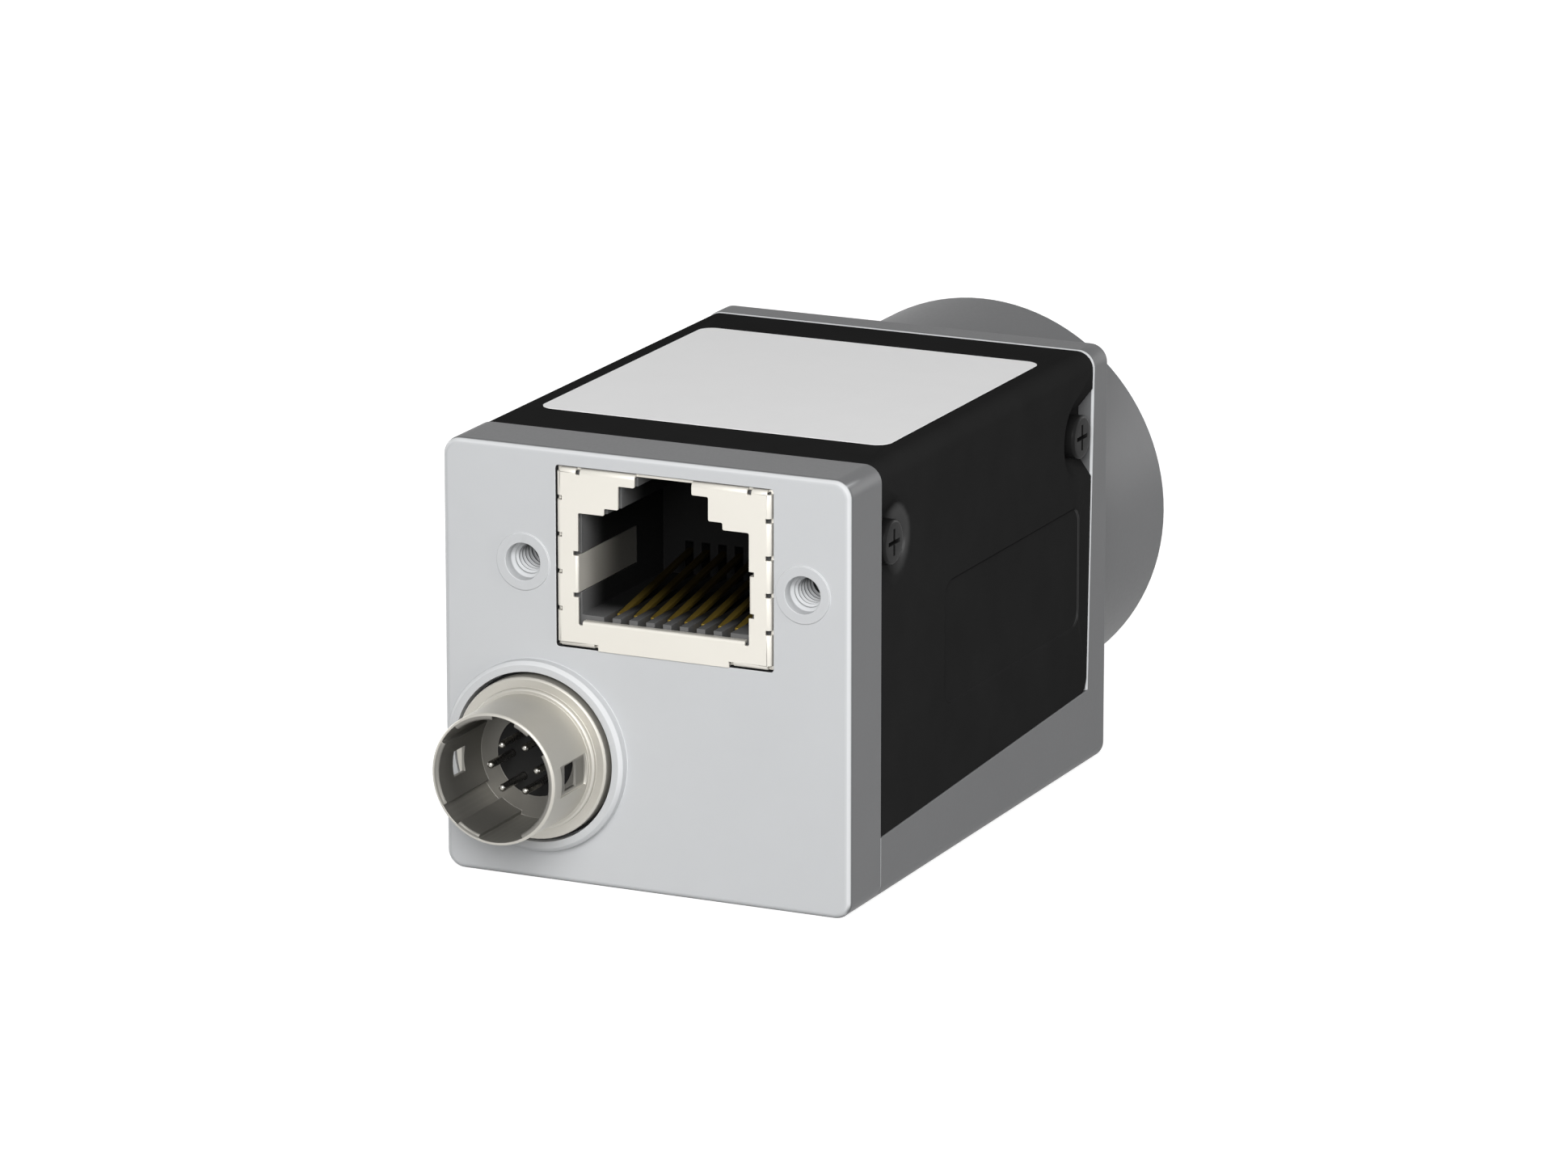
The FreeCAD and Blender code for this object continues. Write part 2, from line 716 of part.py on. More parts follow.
def screw_dish(piece, centre, open_end):
    """Dished seat that runs out at the cover's end."""
    rim = u_outline(piece.at(SIDE, "-" + HALF_WIDTH), centre, "dish_rim_diameter / 2", open_end)
    floor = u_outline(piece.at(SIDE, "-(%s - screw_head_height)" % HALF_WIDTH), centre,
                      "dish_floor_diameter / 2", open_end)
    doc.recompute()
    before = piece.body.Shape.Volume
    dish = piece.body.newObject("PartDesign::SubtractiveLoft", piece.name("dish"))
    dish.Profile = rim
    dish.Sections = [floor]
    dish.Ruled = True
    doc.recompute()
    if not piece.body.Shape.Volume < before:
        raise RuntimeError("%s cuts nothing" % dish.Name)
    return dish


def sunk_panel(piece):
    """Shallow panels on both sides and the label's bed in the roof."""
    panel = piece.at(SIDE, "-" + HALF_WIDTH)
    start = PLATE_FRONT + " + panel_front"
    rectangle(panel, start, start + " + panel_length", "panel_foot", "panel_foot + panel_height")
    cut = piece.cut(panel, "cover_inset + panel_depth", toward=1)
    piece.mirror([cut])
    bed = piece.at(FLAT, HALF_HEIGHT)
    label_outline(bed)
    piece.cut(bed, "cover_inset + label_sink", toward=-1)
    piece.round(panel_corner, "panel_corner_radius")
    piece.round(label_corner, "label_corner_radius")


def panel_corner(point):
    """True on the short edges at the corners of the two side panels."""
    start = PLATE_FRONT + " + panel_front"
    at_corner = upright(point, (1, 2), start, start + " + panel_length",
                        "panel_foot", "panel_foot + panel_height")
    return at_corner and abs(point.x) > size(COVER_INSIDE)


def label_outline(sketch):
    """Outline of the label's bed, seen from above."""
    return rectangle(sketch, "-" + LABEL_HALF, LABEL_HALF, LABEL_FRONT, LABEL_REAR)


def label_corner(point):
    """True on the four short upright edges at the label's corners."""
    return (near(abs(point.x), LABEL_HALF)
            and (near(point.y, LABEL_FRONT) or near(point.y, LABEL_REAR))
            and point.z > size(HALF_HEIGHT + " - cover_roof"))


def upright(point, axes, low, high, foot, top):
    """True on the lines through the corners of a rectangle, seen along the third axis."""
    first, second = point[axes[0]], point[axes[1]]
    return (near(first, low) or near(first, high)) and (near(second, foot) or near(second, top))


def top_label():
    """Thin bare label in the cover's roof."""
    piece = Piece("top_label")
    outline = label_outline(piece.at(FLAT, HALF_HEIGHT + " - cover_inset - label_sink"))
    piece.grow(outline, "label_thickness", toward=1)
    piece.round(label_corner, "label_corner_radius")
    return piece


def cover_screws():
    """Four equal cross-recessed screws, two in each side of the cover."""
    piece = Piece("cover_screws")
    profile = piece.at(FRONT, FRONT_SCREW_Y, across="-" + HALF_WIDTH, up=SCREW_HEIGHT)
    thread = "screw_thread_diameter / 2"
    head = "screw_head_diameter / 2"
    polygon(profile, [
        ("0", "0"),
        ("0", head + " - screw_head_edge"),
        ("screw_head_edge", head),
        ("screw_head_height", head),
        ("screw_head_height", thread),
        ("screw_length", thread),
        ("screw_length", "0"),
    ])
    piece.turn(profile)
    recess = cross_recess(piece, "-" + HALF_WIDTH, FRONT_SCREW_Y, SCREW_HEIGHT)
    piece.cut(recess, "cross_depth", toward=1)
    piece.whole_row("Y_Axis", "%s - %s" % (REAR_SCREW_Y, FRONT_SCREW_Y), PAIR_COUNT)
    piece.whole_mirror(SIDE)
    return piece


def cross_recess(piece, where, across, up):
    """Outline of a cross-shaped recess on a side plane."""
    sketch = piece.at(SIDE, where, across=across, up=up)
    arm, half = "cross_length / 2", "cross_width / 2"
    corners = []
    for turn in range(4):
        for pair in ((arm, "-" + half), (arm, half), (half, half)):
            corners.append(quarter_turns(pair, turn))
    return polygon(sketch, corners)


def quarter_turns(pair, turns):
    """A pair of distances turned by quarter turns."""
    across, up = pair
    for _ in range(turns):
        across, up = negative(up), across
    return across, up


def negative(text):
    """The same distance with its sign changed."""
    return text[1:] if text.startswith("-") else "-" + text


def rear_plate():
    """Pale rear plate: socket cut-out, locking bosses, collar and seat of the round connector."""
    piece = Piece("rear_plate")
    slab = piece.at(FRONT, REAR_PLATE_FRONT)
    rectangle(slab, "-" + HALF_WIDTH, HALF_WIDTH, "-" + HALF_HEIGHT, HALF_HEIGHT)
    piece.grow(slab, "rear_plate_thickness", toward=1)
    piece.round(long_corner, "edge_radius")
    piece.round(lambda point: near(point.y, REAR_FACE), "rear_edge_radius")
    collar = piece.at(FRONT, REAR_FACE + " - rear_plate_thickness / 2")
    circle(collar, "power_x", "power_z", "collar_diameter / 2")
    piece.grow(collar, "rear_plate_thickness / 2 + collar_height", toward=1)
    piece.bevel(lambda point: near(point.y, REAR_FACE + " + collar_height"), "collar_edge_bevel")
    for across in ("lock_x_left", "lock_x_right"):
        boss = piece.at(FRONT, REAR_FACE + " - rear_plate_thickness / 2")
        circle(boss, across, "lock_z", "lock_boss_diameter / 2")
        piece.grow(boss, "rear_plate_thickness / 2 + lock_boss_height", toward=1)
    for side in (1, -1):
        lug = piece.at(FRONT, REAR_SCREW_Y + " - lug_end")
        ends = ["%d * (%s - wall_play)" % (side, COVER_INSIDE),
                "%d * (%s - lug_thickness)" % (side, COVER_INSIDE)]
        rectangle(lug, ends[0], ends[1],
                  SCREW_HEIGHT + " - lug_width / 2", SCREW_HEIGHT + " + lug_width / 2")
        piece.grow(lug, "rear_screw_setback + lug_end - rear_plate_thickness / 2", toward=1)
    seat_and_holes(piece)
    return piece


def seat_and_holes(piece):
    """Every opening of the rear plate."""
    through = "rear_plate_thickness + collar_height"
    cutout = piece.at(FRONT, REAR_FACE + " + collar_height")
    rectangle(cutout, "socket_x - cutout_width / 2", "socket_x + cutout_width / 2",
              "cutout_foot", "cutout_foot + cutout_height")
    piece.cut(cutout, through, toward=-1)
    piece.round(cutout_corner, "cutout_corner_radius")
    seat = piece.at(FRONT, REAR_FACE + " + collar_height")
    circle(seat, "power_x", "power_z", "power_seat_diameter / 2")
    piece.cut(seat, "power_seat_depth", toward=-1)
    hole = piece.at(FRONT, REAR_FACE + " + collar_height")
    circle(hole, "power_x", "power_z", "shell_tail_diameter / 2 + wall_play")
    piece.cut(hole, through, toward=-1)
    recess = piece.at(FRONT, REAR_PLATE_FRONT)
    circle(recess, "power_x", "power_z", "nut_recess_diameter / 2")
    piece.cut(recess, "nut_recess_depth", toward=1)
    for across in ("lock_x_left", "lock_x_right"):
        lock_hole(piece, across)
    side = piece.at(SIDE, "-" + COVER_INSIDE)
    circle(side, REAR_SCREW_Y, SCREW_HEIGHT, "screw_thread_diameter / 2")
    bore = piece.cut(side, "lug_thickness + wall_play", toward=1)
    piece.mirror([bore])


def cutout_corner(point):
    """True on the four long edges of the socket cut-out."""
    return upright(point, (0, 2), "socket_x - cutout_width / 2", "socket_x + cutout_width / 2",
                   "cutout_foot", "cutout_foot + cutout_height")


def lock_hole(piece, across):
    """One locking-screw bore with its wider mouth and the cone between them."""
    face = REAR_FACE + " + lock_boss_height"
    step = face + " - lock_mouth_depth"
    mouth, bore = "lock_mouth_diameter / 2", "lock_bore / 2"
    piece.turn(polygon(piece.sketch(SIDE, up="lock_z", out=across), [
        (face, "0"),
        (face, mouth),
        (step, mouth),
        (step + " - (%s - %s)" % (mouth, bore), bore),
        (REAR_FACE + " - lock_depth", bore),
        (REAR_FACE + " - lock_depth", "0"),
    ]), cutting=True)


def turned(label, profile, across="0", up="0"):
    """A piece turned about a line along Y from half its section."""
    piece = Piece(label)
    piece.turn(polygon(piece.sketch(SIDE, up=up, out=across), profile))
    return piece


def filter_holder():
    """Black ring in the lens mount with the filter's seat and two driver slots."""
    front = HOLDER_BACK + " - holder_thickness"
    rim, opening, seat = "holder_bore / 2", "holder_opening / 2", "filter_diameter / 2"
    piece = turned("filter_holder", [
        (front, opening),
        (front + " + filter_sink - filter_thickness", seat),
        (front + " + filter_sink", seat),
        (front + " + filter_sink", opening),
        (HOLDER_BACK, opening),
        (HOLDER_BACK, rim),
        (front, rim),
    ])
    slots = piece.at(FRONT, front)
    rectangle(slots, "-holder_slot_width / 2", "holder_slot_width / 2", "-" + rim, rim)
    piece.cut(slots, "holder_slot_depth", toward=1)
    return piece


def filter_glass():
    """Round filter window."""
    front = HOLDER_BACK + " - holder_thickness + filter_sink - filter_thickness"
    piece = Piece("filter_glass")
    circle_ = circle(piece.at(FRONT, front), "0", "0", "filter_diameter / 2")
    piece.grow(circle_, "filter_thickness", toward=1)
    return piece


def block(label, left, right, foot, top, front, length):
    """A plain block: its outline seen from the front, its front and its length along Y."""
    piece = Piece(label)
    outline = rectangle(piece.at(FRONT, front), left, right, foot, top)
    piece.grow(outline, length, toward=1)
    return piece


def centred(width):
    """Left and right side of a width about the optical axis."""
    return "-(%s) / 2" % width, "(%s) / 2" % width


def image_sensor():
    """Ceramic package with a stepped cavity for the die and the window."""
    piece = block("image_sensor", *centred("sensor_width"), *centred("sensor_height"),
                  "flange_to_sensor - sensor_front", "sensor_front + sensor_back")
    cavity = piece.at(FRONT, "flange_to_sensor - sensor_front")
    across, up = "sensor_width - 2 * sensor_rim", "sensor_height - 2 * sensor_rim"
    rectangle(cavity, *centred(across), *centred(up))
    piece.cut(cavity, "sensor_front + die_thickness", toward=1)
    seat = piece.at(FRONT, "flange_to_sensor - sensor_front")
    rectangle(seat, *centred(across + " + 2 * window_margin"), *centred(up + " + 2 * window_margin"))
    piece.cut(seat, "window_thickness", toward=1)
    return piece


def sensor_die():
    """Silicon with its light-sensitive face at the mount's focal distance."""
    return block("sensor_die", *centred("die_width"), *centred("die_height"),
                 "flange_to_sensor", "die_thickness")


def sensor_window():
    """Cover glass of the sensor package."""
    across = "sensor_width - 2 * sensor_rim + 2 * window_margin"
    up = "sensor_height - 2 * sensor_rim + 2 * window_margin"
    return block("sensor_window", *centred(across), *centred(up),
                 "flange_to_sensor - sensor_front", "window_thickness")


def sensor_gasket():
    """Soft frame that keeps dust out of the room in front of the sensor."""
    inner = "sensor_width + 2 * gasket_gap"
    outer = inner + " + 2 * gasket_wall"
    piece = block("sensor_gasket", *centred(outer), *centred(outer),
                  BOARD_FRONT + " - gasket_height", "gasket_height")
    window = piece.at(FRONT, BOARD_FRONT + " - gasket_height")
    rectangle(window, *centred(inner), *centred(inner))
    piece.cut(window, "gasket_height", toward=1)
    return piece


def upright_board(label, front):
    """Upright circuit board with four screw holes."""
    piece = block(label, *centred("board_width"), "board_foot", "board_top",
                  front, "board_thickness")
    holes = piece.at(FRONT, front)
    for across, up in spacer_places():
        circle(holes, across, up, "board_hole_diameter / 2")
    piece.cut(holes, "board_thickness", toward=1)
    return piece


def board_spacers():
    """Four equal hexagonal spacers with a stud at the front and a threaded hole behind."""
    piece = Piece("board_spacers")
    start = BOARD_FRONT + " + board_thickness"
    place = {"across": "-spacer_across / 2", "up": "spacer_foot"}
    bar = hexagon(piece.at(FRONT, start, **place), "spacer_diameter / 2")
    piece.grow(bar, "spacer_length", toward=1)
    stud = circle(piece.at(FRONT, start, **place), "0", "0", "stud_diameter / 2")
    piece.grow(stud, "stud_length", toward=-1)
    hole = piece.at(FRONT, start + " + spacer_length", **place)
    circle(hole, "0", "0", "stud_diameter / 2")
    piece.cut(hole, "board_screw_length - board_thickness + screw_play", toward=-1)
    piece.whole_row("Z_Axis", "spacer_top - spacer_foot", PAIR_COUNT)
    piece.whole_mirror(SIDE)
    return piece


def board_screws():
    """Four equal screws that hold the second board to the spacers."""
    piece = Piece("board_screws")
    thread = "stud_diameter / 2"
    head = "board_screw_head / 2"
    profile = piece.sketch(SIDE, up="spacer_foot", out="-spacer_across / 2")
    polygon(profile, [
        (SECOND_BOARD_BACK + " - board_screw_length", "0"),
        (SECOND_BOARD_BACK + " - board_screw_length", thread),
        (SECOND_BOARD_BACK, thread),
        (SECOND_BOARD_BACK, head),
        (SECOND_BOARD_BACK + " + board_screw_head_height", head),
        (SECOND_BOARD_BACK + " + board_screw_head_height", "0"),
    ])
    piece.turn(profile)
    piece.whole_row("Z_Axis", "spacer_top - spacer_foot", PAIR_COUNT)
    piece.whole_mirror(SIDE)
    return piece


def electronics():
    """What sits on the upright boards."""
    link_foot, link_top = "link_z - link_height / 2", "link_z + link_height / 2"
    chip_levels = ("chip_z - chip_height / 2", "chip_z + chip_height / 2")
    start = BOARD_FRONT + " + board_thickness"
    plug = block("board_plug", *centred("link_width"), link_foot, link_top,
                 start, "spacer_length / 2")
    socket = block("board_socket", *centred("link_width"), link_foot, link_top,
                   start + " + spacer_length / 2", "spacer_length / 2")
    chip = block("processor_chip", *centred("chip_width"), *chip_levels,
                 SECOND_BOARD_BACK, "chip_thickness")
    memory = block("memory_chip", "memory_x - memory_width / 2", "memory_x + memory_width / 2",
                   "memory_z - memory_height / 2", "memory_z + memory_height / 2",
                   SECOND_BOARD_BACK, "memory_thickness")
    pad = block("thermal_pad", *centred("chip_width"), *chip_levels,
                SECOND_BOARD_BACK + " + chip_thickness", "pad_thickness")
    return [plug, socket, chip, memory, pad]


def interface_board():
    """Lying board that carries the network socket."""
    return block("interface_board", *centred("interface_width"), LYING_BOARD_FOOT, "shield_foot",
                 LYING_BOARD_FRONT, "%s - interface_gap - %s" % (REAR_PLATE_FRONT, LYING_BOARD_FRONT))


def board_level_parts():
    """Plug to the upright board, and the isolating transformer under the lying board."""
    plug = block("interface_connector", *centred("plug_width"),
                 "shield_foot", "shield_foot + plug_height", SECOND_BOARD_BACK, "plug_depth")
    start = "%s - transformer_setback - transformer_depth" % REAR_PLATE_FRONT
    transformer = block("network_transformer",
                        "transformer_x - transformer_width / 2", "transformer_x + transformer_width / 2",
                        LYING_BOARD_FOOT + " - transformer_height", LYING_BOARD_FOOT,
                        start, "transformer_depth")
    return [plug, transformer]


def beside_socket(distance):
    """A place on the two sides of the socket's centre."""
    return "socket_x - (%s)" % distance, "socket_x + (%s)" % distance


def port_outline(sketch, foot, top):
    """Stepped outline of the plug opening with the key steps and the latch slot above."""
    half = [("port_half", foot), ("port_half", "port_top"),
            ("step_half", "port_top"), ("step_half", "step_top"),
            ("key_half", "step_top"), ("key_half", "key_top"),
            ("latch_half", "key_top"), ("latch_half", top)]
    right = [(beside_socket(across)[1], up) for across, up in half]
    left = [(beside_socket(across)[0], up) for across, up in reversed(half)]
    return polygon(sketch, right + left)


def port_corner(point):
    """True on the short edges at the corners of the plug opening, in the shield's front."""
    corners = [("port_half", "port_foot - notch_width"), ("port_half", "port_top"),
               ("step_half", "port_top"), ("step_half", "step_top"),
               ("key_half", "step_top"), ("key_half", "key_top"),
               ("latch_half", "key_top")]
    reach = abs(point.x - size("socket_x"))
    at_corner = any(near(reach, across) and near(point.z, up) for across, up in corners)
    return at_corner and point.y > size(SHIELD_FRONT + " - 2 * shield_sheet")


def network_shield():
    """Folded shield of the network socket: bent front, relief notches, springs, lip and flap."""
    piece = Piece("network_shield")
    block_ = piece.at(FRONT, SHIELD_BACK)
    rectangle(block_, *beside_socket("shield_width / 2"), "shield_foot", SHIELD_TOP)
    piece.grow(block_, "shield_depth", toward=1)
    piece.round(lambda point: near(point.y, SHIELD_FRONT), "shield_bend")
    hollow = piece.at(FRONT, SHIELD_BACK)
    rectangle(hollow, *beside_socket("shield_width / 2 - shield_sheet"),
              "shield_foot + shield_sheet", SHIELD_TOP + " - shield_sheet")
    piece.cut(hollow, "shield_depth - shield_sheet", toward=1)
    port = port_outline(piece.at(FRONT, SHIELD_FRONT), "port_foot", SHIELD_TOP)
    piece.cut(port, "notch_reach", toward=-1)
    shield_reliefs(piece)
    piece.round(port_corner, "port_corner_radius")
    flap = piece.at(FRONT, SHIELD_FRONT)
    rectangle(flap, *beside_socket("flap_half"),
              "shield_foot - flap_drop", "shield_foot + shield_bend + shield_sheet")
    piece.grow(flap, "shield_sheet", toward=-1)
    lip = piece.at(FRONT, SHIELD_FRONT)
    rectangle(lip, *beside_socket("lip_half"), "port_foot - shield_sheet", "port_foot")
    piece.grow(lip, "lip_depth", toward=-1)
    for side in (1, -1):
        spring = piece.at(FRONT, SHIELD_FRONT)
        start = "socket_x + %d * port_half" % side
        end = "socket_x + %d * (port_half + spring_relief)" % side
        rectangle(spring, start, end, "spring_foot", "spring_foot + spring_height")
        piece.grow(spring, "shield_sheet", toward=-1)
        leaf = piece.at(FRONT, SHIELD_FRONT)
        end = "socket_x + %d * (port_half + shield_sheet)" % side
        rectangle(leaf, start, end, "spring_foot", "spring_foot + spring_height")
        piece.grow(leaf, "spring_length", toward=-1)
    piece.round(folded_edge, "shield_sheet")
    window = piece.at(FLAT, "shield_foot")
    rectangle(window, *beside_socket("shield_width / 2 - 2 * shield_bend"),
              SHIELD_BACK + " + shield_sheet", SHIELD_FRONT + " - shield_window_setback")
    piece.cut(window, "shield_sheet", toward=1)
    return piece


def folded_edge(point):
    """True where the springs and the lip fold over the front."""
    reach = abs(point.x - size("socket_x"))
    on_lip = near(point.z, "port_foot") and reach < size("lip_half") + EDGE_TOLERANCE
    foot = size("spring_foot") - EDGE_TOLERANCE
    top = size("spring_foot + spring_height") + EDGE_TOLERANCE
    on_spring = near(reach, "port_half") and foot < point.z < top
    return near(point.y, SHIELD_FRONT) and (on_lip or on_spring)


def shield_reliefs(piece):
    """Relief notches at the shield's bends, at the ends of the springs and of the lip."""
    sides = piece.at(FRONT, SHIELD_FRONT)
    for left, right in sided("shield_width / 2 - notch_reach", "shield_width / 2"):
        rectangle(sides, left, right, "notch_foot", "notch_foot + notch_width")
    notch = piece.cut(sides, "notch_reach", toward=-1)
    piece.row([notch], "Z_Axis", "notch_pitch", NOTCH_COUNT)
    corners = piece.at(FRONT, SHIELD_FRONT)
    for left, right in sided("shield_width / 2 - notch_width", "shield_width / 2"):
        rectangle(corners, left, right, "shield_foot", "shield_foot + notch_width")
        rectangle(corners, left, right, SHIELD_TOP + " - notch_width", SHIELD_TOP)
    for left, right in sided("roof_notch - notch_width / 2", "roof_notch + notch_width / 2"):
        rectangle(corners, left, right, SHIELD_TOP + " - notch_reach", SHIELD_TOP)
    for left, right in sided("flap_half", "flap_half + notch_width"):
        rectangle(corners, left, right, "shield_foot", "shield_foot + notch_width")
    piece.cut(corners, "notch_reach", toward=-1)
    folds = piece.at(FRONT, SHIELD_FRONT)
    for left, right in sided("port_half - port_corner_radius", "port_half + spring_relief"):
        rectangle(folds, left, right,
                  "spring_foot - notch_width", "spring_foot + spring_height + notch_width")
    for left, right in sided("lip_half", "port_half"):
        rectangle(folds, left, right, "port_foot - notch_width", "port_foot + port_corner_radius")
    piece.cut(folds, "notch_reach", toward=-1)


def sided(inner, outer):
    """Left and right edges of a shape repeated on both sides of the socket's centre."""
    return [("socket_x - (%s)" % outer, "socket_x - (%s)" % inner),
            ("socket_x + (%s)" % inner, "socket_x + (%s)" % outer)]


def network_insulator():
    """Black insert of the network socket: stepped cavity, contact comb and spring channels."""
    piece = Piece("network_insulator")
    play = "shield_sheet + insert_play"
    body = piece.at(FRONT, INSERT_FRONT)
    rectangle(body, *beside_socket("shield_width / 2 - (%s)" % play),
              "shield_foot + " + play, "%s - (%s)" % (SHIELD_TOP, play))
    piece.grow(body, "insert_length", toward=-1)
    cavity = port_outline(piece.at(FRONT, INSERT_FRONT), "comb_top", SHIELD_TOP)
    piece.cut(cavity, "port_depth - insert_setback", toward=-1)
    channels = piece.at(FRONT, INSERT_FRONT)
    for left, right in sided("port_half - port_corner_radius", "port_half + shield_sheet + insert_play"):
        rectangle(channels, left, right,
                  "spring_foot - insert_play", "spring_foot + spring_height + insert_play")
    piece.cut(channels, "spring_length - insert_setback + insert_play", toward=-1)
    slot = piece.sketch(SIDE, out=FIRST_CONTACT)
    rear = SHIELD_FRONT + " - port_depth"
    end = rear + " - comb_rear_length"
    tail = SHIELD_FRONT + " - contact_tail + wall_play"
    polygon(slot, [
        (INSERT_FRONT, "comb_slot_foot"),
        (INSERT_FRONT, "comb_top + port_corner_radius"),
        (rear, "comb_top + port_corner_radius"),
        (rear, "comb_rear_top"),
        (end, "comb_rear_top"),
        (end, "shield_foot"),
        (tail, "shield_foot"),
        (tail, "comb_slot_foot"),
    ])
    cut = piece.cut(slot, "comb_slot_width", both=True)
    piece.row([cut], "X_Axis", "comb_pitch", CONTACT_COUNT)
    return piece


def network_contacts():
    """Eight equal gilt springs, folded back over the comb."""
    piece = Piece("network_contacts")
    profile = piece.sketch(SIDE, out=FIRST_CONTACT)
    front = SHIELD_FRONT + " - contact_front"
    end = SHIELD_FRONT + " - contact_reach"
    tail = SHIELD_FRONT + " - contact_tail"
    polygon(profile, [
        (tail + " - contact_thickness", "shield_foot"),
        (tail + " - contact_thickness", "comb_slot_foot + contact_thickness"),
        (front + " - contact_thickness", "comb_slot_foot + contact_thickness"),
        (front + " - contact_thickness", "contact_crown - contact_thickness"),
        (end, "contact_crown - contact_thickness + contact_rise"),
        (end, "contact_crown + contact_rise"),
        (front, "contact_crown"),
        (front, "comb_slot_foot"),
        (tail, "comb_slot_foot"),
        (tail, "shield_foot"),
    ])
    wire = piece.grow(profile, "contact_width", both=True)
    piece.row([wire], "X_Axis", "comb_pitch", CONTACT_COUNT)
    return piece


def power_shell():
    """Plated shell of the round connector: flange, shoulder, keyways, latch windows and slots."""
    tail, flange = "shell_tail_diameter / 2", "flange_diameter / 2"
    shoulder, barrel = "shoulder_diameter / 2", "barrel_diameter / 2"
    bore, inner = "barrel_bore / 2", "insulator_diameter / 2"
    top = FLANGE_FACE + " + shoulder_height"
    piece = turned("power_shell", [
        (SHELL_TAIL, inner),
        (SHELL_TAIL, tail),
        (FLANGE_BACK, tail),
        (FLANGE_BACK, flange),
        (FLANGE_FACE + " - barrel_edge", flange),
        (FLANGE_FACE, flange + " - barrel_edge"),
        (FLANGE_FACE, shoulder),
        (top + " - barrel_edge", shoulder),
        (top, shoulder + " - barrel_edge"),
        (top, barrel),
        (BARREL_END + " - barrel_edge", barrel),
        (BARREL_END, barrel + " - barrel_edge"),
        (BARREL_END, bore + " + barrel_edge"),
        (BARREL_END + " - barrel_edge", bore),
        (CUP_FLOOR, bore),
        (CUP_FLOOR, inner),
    ], across="power_x", up="power_z")
    for first, last in KEYWAYS:
        keyway = piece.at(FRONT, BARREL_END, across="power_x", up="power_z")
        sector(keyway, "barrel_bore / 2 - barrel_edge", "keyway_diameter / 2", first, last)
        piece.cut(keyway, "cup_depth", toward=-1)
    start = REAR_FACE + " + latch_window_start"
    for side in (1, -1):
        window = piece.at(SIDE, "power_x + %d * barrel_diameter / 2" % side)
        rectangle(window, start, start + " + latch_window_length",
                  "power_z - latch_window_width / 2", "power_z + latch_window_width / 2")
        piece.cut(window, "latch_window_depth", toward=-side)
        slot = piece.at(SIDE, "power_x + %d * barrel_diameter / 2" % side)
        rectangle(slot, start + " + latch_slot_start", start + " + latch_slot_start + latch_slot_length",
                  "power_z - latch_slot_width / 2", "power_z + latch_slot_width / 2")
        piece.cut(slot, "barrel_diameter / 2 - barrel_bore / 2 + latch_window_depth", toward=-side)
    return piece


def sector(sketch, inner, outer, first, last):
    """Slice of a ring between two angles, measured from -X towards +Z."""
    start, end = math.radians(180 - last), math.radians(180 - first)
    arcs = []
    for radius in (inner, outer):
        full = Part.Circle(Vector(0, 0, 0), Vector(0, 0, 1), size(radius))
        arc = sketch.addGeometry(Part.ArcOfCircle(full, start, end))
        sketch.addConstraint(Sketcher.Constraint("Coincident", arc, 3, -1, 1))
        index = sketch.addConstraint(Sketcher.Constraint("Radius", arc, size(radius)))
        sketch.setExpression("Constraints[%d]" % index, linked(radius))
        arcs.append(arc)
    for position, angle in ((1, start), (2, end)):
        direction = Vector(math.cos(angle), math.sin(angle), 0)
        side = sketch.addGeometry(Part.LineSegment(direction * size(inner), direction * size(outer)))
        sketch.addConstraint(Sketcher.Constraint("Coincident", side, 1, arcs[0], position))
        sketch.addConstraint(Sketcher.Constraint("Coincident", side, 2, arcs[1], position))
        sketch.addConstraint(Sketcher.Constraint("Angle", side, angle))
    return sketch


def power_insulator():
    """Black core of the round connector with six pin holes."""
    piece = Piece("power_insulator")
    core = piece.at(FRONT, CORE_TAIL)
    circle(core, "power_x", "power_z", "insulator_diameter / 2")
    length = "%s - %s" % (CUP_FLOOR, CORE_TAIL)
    piece.grow(core, length, toward=1)
    hole = first_pin(piece)
    piece.ring([piece.cut(hole, length, toward=1)], hole, PIN_COUNT)
    return piece


def first_pin(piece):
    """Outline of the first pin, drawn about the round connector's axis."""
    sketch = piece.at(FRONT, CORE_TAIL, across="power_x", up="power_z")
    return circle(sketch, "-pin_circle / 2", "0", "pin_diameter / 2")


def power_pins():
    """Six equal pins, from the small board through the core into the cup."""
    piece = Piece("power_pins")
    outline = first_pin(piece)
    pin = piece.grow(outline, "%s + pin_front - %s" % (REAR_FACE, CORE_TAIL), toward=1)
    piece.ring([pin], outline, PIN_COUNT)
    return piece


def power_gasket():
    """Seal ring between the connector's flange and its seat in the rear plate."""
    outer, inner = "power_seat_diameter / 2 - wall_play", "shell_tail_diameter / 2 + wall_play"
    profile = [(POWER_SEAT, inner), (POWER_SEAT, outer), (FLANGE_BACK, outer), (FLANGE_BACK, inner)]
    return turned("power_gasket", profile, across="power_x", up="power_z")


def power_nut():
    """Ring nut in the rear plate's inner recess, with two spanner slots."""
    seat = REAR_PLATE_FRONT + " + nut_recess_depth"
    start = seat + " - nut_thickness"
    outer, inner = "nut_diameter / 2", "shell_tail_diameter / 2"
    piece = turned("power_nut", [(start, inner), (start, outer), (seat, outer), (seat, inner)],
                   across="power_x", up="power_z")
    slots = piece.at(FRONT, start, across="power_x", up="power_z")
    rectangle(slots, "-nut_slot_width / 2", "nut_slot_width / 2", "-" + outer, outer)
    piece.cut(slots, "nut_slot_depth", toward=1)
    return piece


